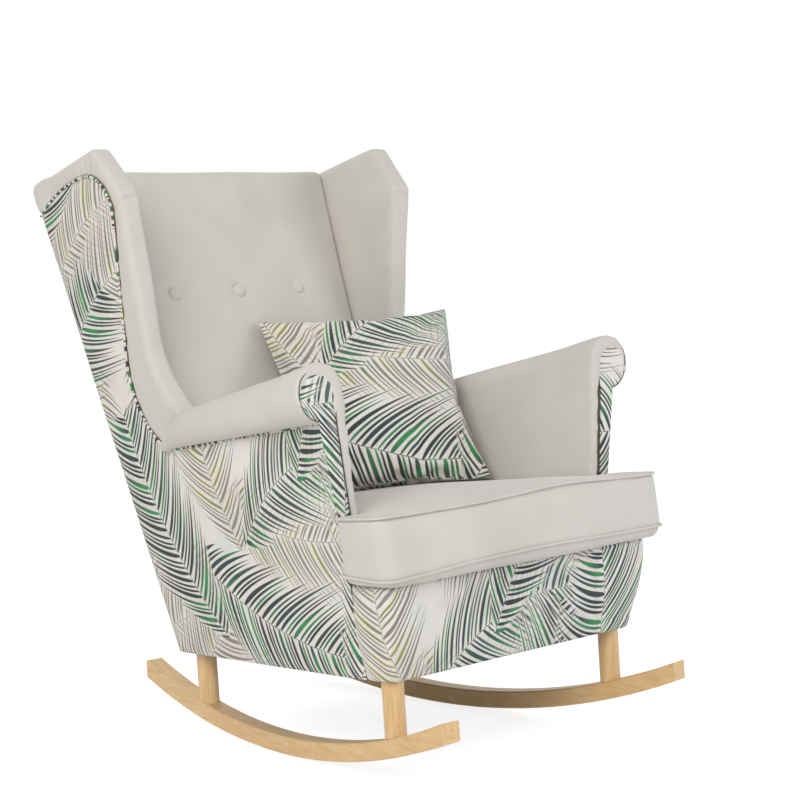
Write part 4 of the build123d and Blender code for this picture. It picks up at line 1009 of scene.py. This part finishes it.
# %% Profile of the back
TOP_ROUND = 20
BACK_FLAP_FOOT = 786
TUFT_HEIGHT, TUFT_PITCH, TUFT_DEPTH = 637, 151, 9
TUFT_PLACES = (-TUFT_PITCH, 0, TUFT_PITCH)
# The crown stands out by these amounts at four heights.
CROWN = np.polyfit((BASE_HEIGHT, 400, TUFT_HEIGHT, 800), (6, 16, 15, 8), 3)

lean = math.atan(INNER_RAKE)
shoulder = BACK_TOP - TOP_ROUND
profile = [(inner_back_y(z), z, -math.cos(lean), math.sin(lean), np.polyval(CROWN, z))
           for z in np.linspace(BASE_HEIGHT + 1, shoulder, 150)]
front, rear, crown = inner_back_y(shoulder), rear_y(shoulder), np.polyval(CROWN, shoulder)
for a in np.radians(np.linspace(10, 90, 9)):
    profile.append((front + TOP_ROUND * (1 - math.cos(a)), shoulder + TOP_ROUND * math.sin(a), -math.cos(a),
                    math.sin(a), crown * math.cos(a)))
for share in np.linspace(0.1, 0.9, 8):
    profile.append((front + TOP_ROUND + share * (rear - front - 2 * TOP_ROUND),
                    BACK_TOP + 2 * math.sin(math.pi * share), 0, 1, 0))
for a in np.radians(np.linspace(90, 0, 9)):
    profile.append((rear - TOP_ROUND * (1 - math.cos(a)), shoulder + TOP_ROUND * math.sin(a), math.cos(a),
                    math.sin(a), 0))
profile += [(rear_y(z) + 0.8, z, 1, 0, 0) for z in np.linspace(shoulder - 6, BACK_FLAP_FOOT, 8)]
y, z, normal_y, normal_z, crown = (np.array(column)[:, None] for column in zip(*profile))
print("back of", len(profile), "rows, crowned by up to", round(float(crown.max()), 1), "mm")

# %% Inner back
BACK_COLUMNS = 151
EDGE_ROUND = 15
SIDE_WALL = 30
share = np.linspace(-1, 1, BACK_COLUMNS)[None, :]
half_width = wing_inner_x(np.minimum(z, BACK_TOP)) - 0.4
x = share * half_width
into_edge = rising(np.abs(x), half_width - EDGE_ROUND, half_width)
sunk = EDGE_ROUND * (1 - np.sqrt(1 - into_edge**2)) - crown * (1 - share**2)
on_front = np.clip((shoulder - z) / 60, 0, 1) * (normal_y < -0.5)
# Round each button: a dimple in a broad hollow, and five short creases.
for i, middle in enumerate(TUFT_PLACES):
    across, up = x - middle, (z - TUFT_HEIGHT) / math.cos(lean)
    gap = np.hypot(across, up)
    turn = np.arctan2(up, across)
    pull = TUFT_DEPTH * np.exp(-(gap / 21) ** 1.4) + 1.6 * np.exp(-(gap / 70) ** 2)
    pull += 0.9 * np.cos(5 * turn + i) * np.exp(-gap / 30) * (1 - np.exp(-gap / 12))
    sunk += pull * on_front
# Between the buttons the cloth is drawn into a faint line.
between = np.abs(x) < TUFT_PITCH
between = between * np.exp(-((z - TUFT_HEIGHT) / 16) ** 2) * np.sin(np.pi * x / TUFT_PITCH) ** 2
sunk += 1.2 * between * on_front
points = np.stack((x, y - normal_y * sunk, z - normal_z * sunk), -1)
wall = points[:, (0, -1)] - SIDE_WALL * np.stack((0 * normal_y, normal_y, normal_z), -1)
points = np.concatenate((wall[:, :1], points, wall[:, 1:]), 1)
faces = grid_faces(np.arange(points[..., 0].size).reshape(points.shape[:2]))
inner_back = new_piece("inner_back", points.reshape(-1, 3), faces, velvet)
raise_by(inner_back, 0.9 * ripple(points_of(inner_back), wave_mm=210, seed=51))
upholster(inner_back, ["back_pad"], "chair")

# %% [markdown]
# A covered button is a metal dome under velvet. A ball could be squashed, but rings that fall with the cube
# of their radius give the flatter top and rounder edge of a pressed dome.

# %% Covered buttons
BUTTON_RADIUS, BUTTON_HEIGHT, BUTTON_LIFT = 13.5, 7, 1.5
rings = np.sin(np.linspace(0, math.pi / 2, 12)) * BUTTON_RADIUS
spokes = np.linspace(0, math.tau, 40, endpoint=False)
dome = BUTTON_HEIGHT * np.sqrt(1 - (rings / BUTTON_RADIUS) ** 3)
facing = np.array((0, -math.cos(lean), math.sin(lean)))
upward = np.array((0, math.sin(lean), math.cos(lean)))
ring_faces = np.arange(len(rings) * len(spokes)).reshape(len(rings), len(spokes))
ring_faces = grid_faces(np.column_stack((ring_faces, ring_faces[:, :1])), flipped=True)
points, faces = [], []
for middle in TUFT_PLACES:
    crown = np.polyval(CROWN, TUFT_HEIGHT) * (1 - (middle / wing_inner_x(TUFT_HEIGHT)) ** 2)
    seat = np.array((middle, inner_back_y(TUFT_HEIGHT) - crown + TUFT_DEPTH, TUFT_HEIGHT))
    faces.append(ring_faces + len(points))
    for radius, height in zip(rings, dome):
        for spoke in spokes:
            points.append(seat + radius * (math.cos(spoke) * np.array((1, 0, 0)) + math.sin(spoke) * upward)
                          + (height + BUTTON_LIFT) * facing)
buttons = new_piece("covered_buttons", points, np.vstack(faces), velvet)
upholster(buttons, ["back_buttons"], "chair")

# %% [markdown]
# ## Seat cushion
# The cushion is loose, with ears that reach in front of the arms. Its case has a top, a bottom and a boxing
# strip between two piped seams. Cloth under a little air pressure takes the shape of foam in a tight case:
# the seams hold and the panels swell between them.

# %% Blowing cloth up
CLOTH = {"quality": 6, "mass": 0.25, "tension_stiffness": 20, "compression_stiffness": 20,
         "shear_stiffness": 8, "bending_stiffness": 1.5}


def move_to(piece, points):
    """Puts the points of a piece at places on the level chair."""
    piece.data.vertices.foreach_set("co", placed(points).ravel())
    piece.data.update()


def blow_up(piece, held, pressure, frames, limit):
    """Runs a cloth simulation with air inside. No point moves further than its limit in millimetres."""
    group = piece.vertex_groups.new(name="held")
    group.add(np.nonzero(held)[0].tolist(), 1.0, "REPLACE")
    cloth = piece.modifiers.new("cloth", "CLOTH")
    for key, value in CLOTH.items():
        setattr(cloth.settings, key, value)
    cloth.settings.vertex_group_mass = "held"
    cloth.settings.use_pressure = True
    cloth.settings.uniform_pressure_force = pressure
    cloth.settings.effector_weights.gravity = 0
    cloth.collision_settings.use_collision = False
    cloth.point_cache.frame_start = 1
    cloth.point_cache.frame_end = frames
    before = points_of(piece)
    for step in range(1, frames + 1):
        scene.frame_set(step)
    put_through(piece)
    scene.frame_set(1)
    piece.vertex_groups.clear()
    moved = points_of(piece) - before
    far = np.linalg.norm(moved, axis=1)
    kept = limit * np.tanh(far / limit) / np.maximum(far, 1e-6)
    move_to(piece, before + moved * kept[:, None])
    print(piece.name, "swelled by up to", round(float((far * kept).max()), 1), "mm, freely",
          round(float(far.max()), 1))


print("cloth:", ", ".join(f"{key} {value}" for key, value in CLOTH.items()))

# %% [markdown]
# The case is sewn empty first. Closed rows of points run round it, from under the lower seam to above the
# upper one, and a cap closes each end.

# %% Outline of the cushion
CUSHION_RING = 300
CUSHION_FOOT, LOWER_SEAM, UPPER_SEAM = 158, 178, 268
SEAT_FALL, FALL_FROM = math.tan(math.radians(2)), -342
CUSHION_REAR = 165
NECK_FRONT, NECK_REAR = 274, 233
ARM_CLEARANCE = 3
FRONT_ROUND, EAR_ROUND, NECK_ROUND, REAR_ROUND, LEAST_ROUND = 22, 12, 5, 40, 8
FRONT_BOW = 9
# Half width and front edge at the two seams.
LOWER, UPPER = np.array((341, -358)), np.array((347, -343))


def cushion_ring(z, slope, inset, half_width, front, share):
    """A closed row round the cushion, set in from the seam, on a plane that falls to the rear.

    The front edge isn't straight: foam lifts its middle and the loose lower corner at -X sags. The share runs
    from 0 at the lower seam to 1 at the upper one.
    """
    side, ear, rear = half_width - inset, ARM_FRONT - ARM_CLEARANCE - inset, CUSHION_REAR - inset
    neck_front = NECK_FRONT - ARM_CLEARANCE - inset
    neck_rear = along_arm(CUSHION_REAR, NECK_FRONT, NECK_REAR) - ARM_CLEARANCE - inset
    front_round, rear_round = (max(size - inset, LEAST_ROUND) for size in (FRONT_ROUND, REAR_ROUND))
    ring = rounded([(-side, front + inset, front_round), (side, front + inset, front_round),
                    (side, ear, EAR_ROUND), (neck_front, ear, NECK_ROUND),
                    (neck_rear, rear, rear_round), (-neck_rear, rear, rear_round),
                    (-neck_front, ear, NECK_ROUND), (-side, ear, EAR_ROUND)], 8, count=CUSHION_RING + 1)
    x, y = ring.T
    bowed = y - FRONT_BOW * (1 - (x / half_width) ** 2) * np.clip((ear - y) / (ear - front), 0, 1)
    lower_lift = 5 * np.exp(-((x - 20) / 150) ** 2) - 11 * rising(-x, 170, 330)
    upper_lift = 9 * np.exp(-((x - 80) / 140) ** 2)
    lift = (lower_lift * (1 - share) + upper_lift * share) * rising(-y, 200, 320)
    lift = lift * rising(z, CUSHION_FOOT, CUSHION_FOOT + 24)
    return np.column_stack((x, bowed, z - slope * (y - FALL_FROM) + lift))


layers = [(CUSHION_FOOT, 0, 12, *LOWER, 0), (CUSHION_FOOT + 6, 0, 5, *LOWER, 0)]
for share in np.linspace(0, 1, 6):
    layers.append((LOWER_SEAM + (UPPER_SEAM - LOWER_SEAM) * share, SEAT_FALL * share, 0,
                   *(LOWER + (UPPER - LOWER) * share), share))
layers += [(UPPER_SEAM + 3, SEAT_FALL, 12, *UPPER, 1), (UPPER_SEAM + 4, SEAT_FALL, 40, *UPPER, 1)]
rings = np.array([cushion_ring(*layer) for layer in layers])
# The boxing strip's first and last rows are the seams.
lower_seam, upper_seam = rings[2], rings[7]
print("cushion of", len(rings), "rows, upper seam", round(float(lengths_along(upper_seam)[-1])), "mm long")

# %% [markdown]
# An even mesh of the case is then blown up with its seams held. The top may swell more than the boxing strip.

# %% Seat cushion
CUSHION_CELL = 8
index = np.arange(rings.shape[0] * CUSHION_RING).reshape(rings.shape[:2])
faces = grid_faces(np.column_stack((index, index[:, :1]))).tolist()
faces += [index[0, ::-1].tolist(), index[-1].tolist()]
cushion = new_piece("seat_cushion_case", rings.reshape(-1, 3), faces, velvet)
put_through(cushion, ("REMESH", {"mode": "VOXEL", "voxel_size": CUSHION_CELL * MM}))
points = points_of(cushion)
seam_gap = np.minimum(*(line_distance(points, np.vstack((seam, seam[:1])))
                        for seam in (lower_seam, upper_seam)))
above = points[:, 2] > UPPER_SEAM - SEAT_FALL * (points[:, 1] - FALL_FROM) - 2
held = (seam_gap < CUSHION_CELL * 0.8) | (points[:, 2] < CUSHION_FOOT + 10)
blow_up(cushion, held, pressure=4.0, frames=20, limit=np.where(above, 14.0, 10.0))
put_through(cushion, ("SMOOTH", {"factor": 0.4, "iterations": 2}), ("SUBSURF", {"levels": 1}))
raise_by(cushion, 0.8 * ripple(points_of(cushion), wave_mm=150, seed=61))
upholster(cushion, ["seat_cushion"], "seat_cushion")

# %% [markdown]
# ## Throw pillow
# Two squares of printed velvet sewn edge to edge and blown up draw in along their sides and leave pointed
# corners, as a stuffed pillow does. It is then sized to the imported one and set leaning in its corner, where
# its own weight straightens the edge that it stands on.

# %% Place of the pillow
PILLOW_SIZE, PILLOW_HALF_DEPTH = 368, 58
PILLOW_CELLS = 56
PILLOW_LENS = 5
EDGE_DROP = 4
FRONT_PRINT, REAR_PRINT = (0.38, 0.30), (0.05, 0.1)
PILLOW_CENTRE = np.array((117, 122, 424.6))
yaw, lean_back = math.radians(28.5), math.radians(33)
across = np.array((math.cos(yaw), -math.sin(yaw), 0))
facing = np.array((-math.cos(lean_back) * math.sin(yaw), -math.cos(lean_back) * math.cos(yaw),
                   math.sin(lean_back)))
upward = np.cross(facing, across)
pillow_axes = np.stack((across, upward, facing))
print("pillow faces", [round(float(v), 2) for v in facing])

# %% Pillow sewn flat
line = np.linspace(-1, 1, PILLOW_CELLS + 1)
u, v = np.meshgrid(line, line, indexing="ij")
rim = (np.abs(u) == 1) | (np.abs(v) == 1)
lens = PILLOW_LENS * (1 - u**2) * (1 - v**2)
half = PILLOW_SIZE / 2
front_sheet = np.stack((u * half, v * half, lens), -1).reshape(-1, 3)
rear_sheet = front_sheet * (1, 1, -1)
index = np.arange(u.size).reshape(u.shape)
rear_index = np.where(rim, index, index + u.size)
front_faces, rear_faces = (grid_faces(numbers, flipped=True) for numbers in (index, rear_index))
flat_place = np.stack((u, v), -1).reshape(-1, 2) * half * MM
points, faces, used = trimmed(np.vstack((front_sheet, rear_sheet)),
                              np.vstack((front_faces, rear_faces[:, ::-1])))
cloth_place = np.vstack((flat_place + FRONT_PRINT, flat_place * (-1, 1) + REAR_PRINT))
pillow = new_piece("pillow", points @ pillow_axes + PILLOW_CENTRE, faces, print_velvet, cloth_place[used])
print("pillow sewn from", len(faces), "squares")

# %% Pillow blown up and set down
blow_up(pillow, np.zeros(len(points), bool), pressure=3.2, frames=20, limit=200.0)
offset = points_of(pillow) - PILLOW_CENTRE
local = np.stack((offset @ across, offset @ upward, offset @ facing), 1)
local -= (local.max(0) + local.min(0)) / 2
local *= np.array((half, half, PILLOW_HALF_DEPTH)) / np.abs(local).max(0)
foot_place, foot_height = local[index[:, 0]][:, :2].T
rests = -half - EDGE_DROP - np.interp(local[:, 0], foot_place, foot_height)
local[:, 1] += rests * np.clip(-local[:, 1] / half, 0, 1) ** 2
move_to(pillow, local @ pillow_axes + PILLOW_CENTRE)
put_through(pillow, ("SUBSURF", {"levels": 1}))
upholster(pillow, ["throw_pillow"], "throw_pillow")

# %% [markdown]
# ## Piping and welts
# A piping cord is a tube of cloth sewn into a seam. A curve with a bevel would be as round, but Geometry
# Nodes can also store the place on the cloth along it, so that a printed cord shows the dashes of a bias-cut
# print.

# %% Piping tree
CORD_SIDES = 10
# The printed cord shows this line of the print, in metres.
CORD_LINE = 0.21
piping = bpy.data.node_groups.new("piping", "GeometryNodeTree")
piping.interface.new_socket("Seam", in_out="INPUT", socket_type="NodeSocketGeometry")
cord_radius = piping.interface.new_socket("Cord radius", in_out="INPUT", socket_type="NodeSocketFloat")
cord_step = piping.interface.new_socket("Step", in_out="INPUT", socket_type="NodeSocketFloat")
cord_cloth = piping.interface.new_socket("Cloth", in_out="INPUT", socket_type="NodeSocketMaterial")
piping.interface.new_socket("Cord", in_out="OUTPUT", socket_type="NodeSocketGeometry")
given = add(piping, "NodeGroupInput")
even = add(piping, "GeometryNodeResampleCurve", {
    "Curve": given.outputs["Seam"], "Length": given.outputs["Step"]}, mode="LENGTH")
along = add(piping, "GeometryNodeSplineParameter")
marked = add(piping, "GeometryNodeStoreNamedAttribute", {
    "Geometry": even.outputs[0], "Name": "seam_length", "Value": along.outputs["Length"]}, data_type="FLOAT",
    domain="POINT")
circle = add(piping, "GeometryNodeCurvePrimitiveCircle", {
    "Resolution": CORD_SIDES, "Radius": given.outputs["Cord radius"]})
tube = add(piping, "GeometryNodeCurveToMesh", {"Curve": marked.outputs[0], "Profile Curve": circle.outputs[0],
                                               "Fill Caps": True})
length = add(piping, "GeometryNodeInputNamedAttribute", {"Name": "seam_length"}, data_type="FLOAT")
cloth_uv = add(piping, "ShaderNodeCombineXYZ", {"X": length.outputs["Attribute"], "Y": CORD_LINE})
mapped = add(piping, "GeometryNodeStoreNamedAttribute", {
    "Geometry": tube.outputs[0], "Name": "cloth", "Value": cloth_uv.outputs[0]}, data_type="FLOAT2",
    domain="CORNER")
smooth = add(piping, "GeometryNodeSetShadeSmooth", {"Geometry": mapped.outputs[0]})
real = add(piping, "GeometryNodeRealizeInstances", {"Geometry": smooth.outputs[0]})
dressed = add(piping, "GeometryNodeSetMaterial", {
    "Geometry": real.outputs[0], "Material": given.outputs["Cloth"]})
add(piping, "NodeGroupOutput", {"Cord": dressed.outputs[0]})
print("piping tree of", len(piping.nodes), "nodes")

# %% Piping, welts and painted seam shadows
CORD_STEP = 4
CORD_DIAMETER, SHADOW_CORD_DIAMETER = 4.5, 1.6
CUSHION_CORD_OUT, WELT_OUT, SHADOW_CORD_OUT = 1.5, 1.2, 0.8


def curve_of(name, path, closed):
    """A curve object through points of the level chair."""
    curve = bpy.data.curves.new(name, "CURVE")
    curve.dimensions = "3D"
    spline = curve.splines.new("POLY")
    spline.points.add(len(path) - 1)
    spline.points.foreach_set("co", np.column_stack((placed(path), np.ones(len(path)))).ravel())
    spline.use_cyclic_u = closed
    return new_object(name, curve)


def grown(drawn, tree, values):
    """The mesh that a node tree grows on a curve, with the tree's inputs set, as an object in its place."""
    modifier = drawn.modifiers.new(tree.name, "NODES")
    modifier.node_group = tree
    for socket, value in values.items():
        modifier[socket.identifier] = value
    name, mesh = drawn.name, made_mesh(drawn)
    bpy.data.objects.remove(drawn)
    return new_object(name, mesh)


def pipe(name, seam, diameter, cloth, body, closed=False):
    """A piping cord along a seam of level points."""
    cord = grown(curve_of(name, seam, closed), piping,
                 {cord_radius: diameter / 2 * MM, cord_step: CORD_STEP * MM, cord_cloth: cloth})
    upholster(cord, [], body)


for name, seam in (("cushion_piping_upper", upper_seam), ("cushion_piping_lower", lower_seam)):
    outward = seam - np.roll(seam, 1, axis=0)
    outward = np.stack((outward[:, 1], -outward[:, 0], 0 * outward[:, 0]), 1)
    outward /= np.linalg.norm(outward, axis=1)[:, None]
    pipe(name, seam + CUSHION_CORD_OUT * outward, CORD_DIAMETER, velvet, "seat_cushion",
         closed=True)

seam = resampled(np.vstack(([(FACING_FRONT, roll_seam_z(FACING_FRONT))], WING_SWEEP, WING_ARCH)), 6)
panel_seam = resampled(panel_edge, 4)
for side, sign in (("left", -1), ("right", 1)):
    pipe(f"side_welt_{side}", on_side(seam, np.full(len(seam), WELT_OUT), sign), CORD_DIAMETER, print_velvet,
         "chair")
    # The dark cord round each arm front is painted shade: it stands for the shadow line of the seam.
    front = np.column_stack((sign * panel_seam[:, 0], np.full(len(panel_seam), ARM_FRONT - SHADOW_CORD_OUT),
                             panel_seam[:, 1]))
    pipe(f"arm_front_seam_shadow_{side}", front, SHADOW_CORD_DIAMETER, seam_shadow_cord, "chair")

# %% [markdown]
# ## Under the cushion and under the base
# Under the cushion a padded deck lies on the springs. Under the base the printed cloth is turned in over the
# rails, and a black dust cover hides its raw edges. Both have holes where the legs go up to their boards.

# %% Seat deck
deck = soft_copy("seat_deck", "deck", easing=2, cloth=deck_cloth)
upholster(deck, ["seat_deck"], "chair")

# %% Leg holes and flat sheets
LEG_HOLE = 19
LEG_TOP_BAND = 2
leg_tops = []
for place in ("front_left", "front_right", "rear_left", "rear_right"):
    spots = points_of(nodes[f"leg_{place}"])
    leg_tops.append(spots[spots[:, 2] > spots[:, 2].max() - LEG_TOP_BAND].mean(0)[:2])


def leg_holes(flat, faces):
    """Opens cloth round each leg: points inside a hole go to its edge, and faces with no point outside go."""
    flat = flat.copy()
    inside = np.zeros(len(flat), bool)
    for top in leg_tops:
        away = flat - top
        gap = np.linalg.norm(away, axis=1)
        near = gap < LEG_HOLE
        flat[near] = top + away[near] / np.maximum(gap[near], 0.01)[:, None] * LEG_HOLE
        inside |= near
    return flat, faces[~inside[faces].all(1)]


def lay(name, flat, faces, height, material):
    """A sheet stretched flat under the base, cut to a size in metres."""
    flat, faces = leg_holes(flat, faces)
    points, faces, _ = trimmed(np.column_stack((flat, height)), faces)
    piece = new_piece(name, points, faces[:, ::-1], material, points[:, :2] * MM)
    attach(piece, "chair")
    return piece


print("leg tops at", [[round(float(v)) for v in top] for top in leg_tops])

# %% Turned-in print
TURN_EDGE, TURN_RAW_EDGE, TURN_ROWS, TURN_POINTS = 2, 32, 7, 260
TURN_CORNER = 3
TURN_DROP = 0.4
turn = []
for inset in np.linspace(TURN_EDGE, TURN_RAW_EDGE, TURN_ROWS):
    rear = rear_y(0) - inset
    side, corner = outer_x(FACING_FRONT, 0) - inset, outer_x(rear, 0) - inset
    turn.append(rounded([(-side, FACING_FRONT, 0), (-corner, rear, TURN_CORNER), (corner, rear, TURN_CORNER),
                         (side, FACING_FRONT, 0)], 6, closed=False, count=TURN_POINTS))
flat = np.vstack(turn)
faces = grid_faces(np.arange(len(flat)).reshape(TURN_ROWS, -1), flipped=True)
height = np.full(len(flat), -TURN_DROP)
lay("turned_in_print", flat, faces, height, print_velvet)

# %% Dust cover
DUST_HALF_FRONT, DUST_HALF_REAR = 271, 213
DUST_CORNER, DUST_CELL = 5, 6
DUST_DROP, DUST_SAG = 0.9, 3


def dust_line(half_front, half_rear, inset):
    """An outline that tapers to the rear, set in from the front and rear edges of the dust cover."""
    front, rear = inset - DUST_COVER_FRONT, DUST_COVER_REAR - inset
    return rounded([(x, y, DUST_CORNER) for x, y in (
        (-half_front, front), (half_front, front), (half_rear, rear), (-half_rear, rear))], 6)


flat, faces, depth = cut_cloth(dust_line(DUST_HALF_FRONT, DUST_HALF_REAR, 0), DUST_CELL)
height = -DUST_DROP - DUST_SAG * (1 - np.exp(-depth / 90))
height = height - 0.4 * ripple(flat, wave_mm=160, seed=71) * rising(depth, 0, 40)
dust = lay("dust_sheet", flat, faces, height, dust_cloth)
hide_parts("dust_cover")

# %% [markdown]
# Staples hold the dust cover every 45 mm. Geometry Nodes sets one staple crown at each step along the edge.

# %% Staples
STAPLE_SPACING = 45
STAPLE_CROWN = (10, 1.2, 0.7)
STAPLE_HALF_FRONT, STAPLE_HALF_REAR, STAPLE_INSET, STAPLE_DROP = 236, 208, 6, 1.3
staples = bpy.data.node_groups.new("staples", "GeometryNodeTree")
staples.interface.new_socket("Edge", in_out="INPUT", socket_type="NodeSocketGeometry")
staple_spacing = staples.interface.new_socket("Spacing", in_out="INPUT", socket_type="NodeSocketFloat")
staple_metal = staples.interface.new_socket("Metal", in_out="INPUT", socket_type="NodeSocketMaterial")
staples.interface.new_socket("Staples", in_out="OUTPUT", socket_type="NodeSocketGeometry")
given = add(staples, "NodeGroupInput")
steps = add(staples, "GeometryNodeCurveToPoints", {
    "Curve": given.outputs["Edge"], "Length": given.outputs["Spacing"]}, mode="LENGTH")
turned = add(staples, "FunctionNodeAlignRotationToVector", {"Vector": steps.outputs["Tangent"]}, axis="X")
crown = add(staples, "GeometryNodeMeshCube", {"Size": [size * MM for size in STAPLE_CROWN]})
each = add(staples, "GeometryNodeInstanceOnPoints", {
    "Points": steps.outputs["Points"], "Instance": crown.outputs["Mesh"], "Rotation": turned.outputs[0]})
real = add(staples, "GeometryNodeRealizeInstances", {"Geometry": each.outputs[0]})
plated = add(staples, "GeometryNodeSetMaterial", {
    "Geometry": real.outputs[0], "Material": given.outputs["Metal"]})
add(staples, "NodeGroupOutput", {"Staples": plated.outputs[0]})

edge = dust_line(STAPLE_HALF_FRONT, STAPLE_HALF_REAR, STAPLE_INSET)
edge = curve_of("dust_staples", np.column_stack((edge, np.full(len(edge), -STAPLE_DROP))), closed=True)
dust_staples = grown(edge, staples, {staple_spacing: STAPLE_SPACING * MM, staple_metal: zinc})
upholster(dust_staples, [], "chair")
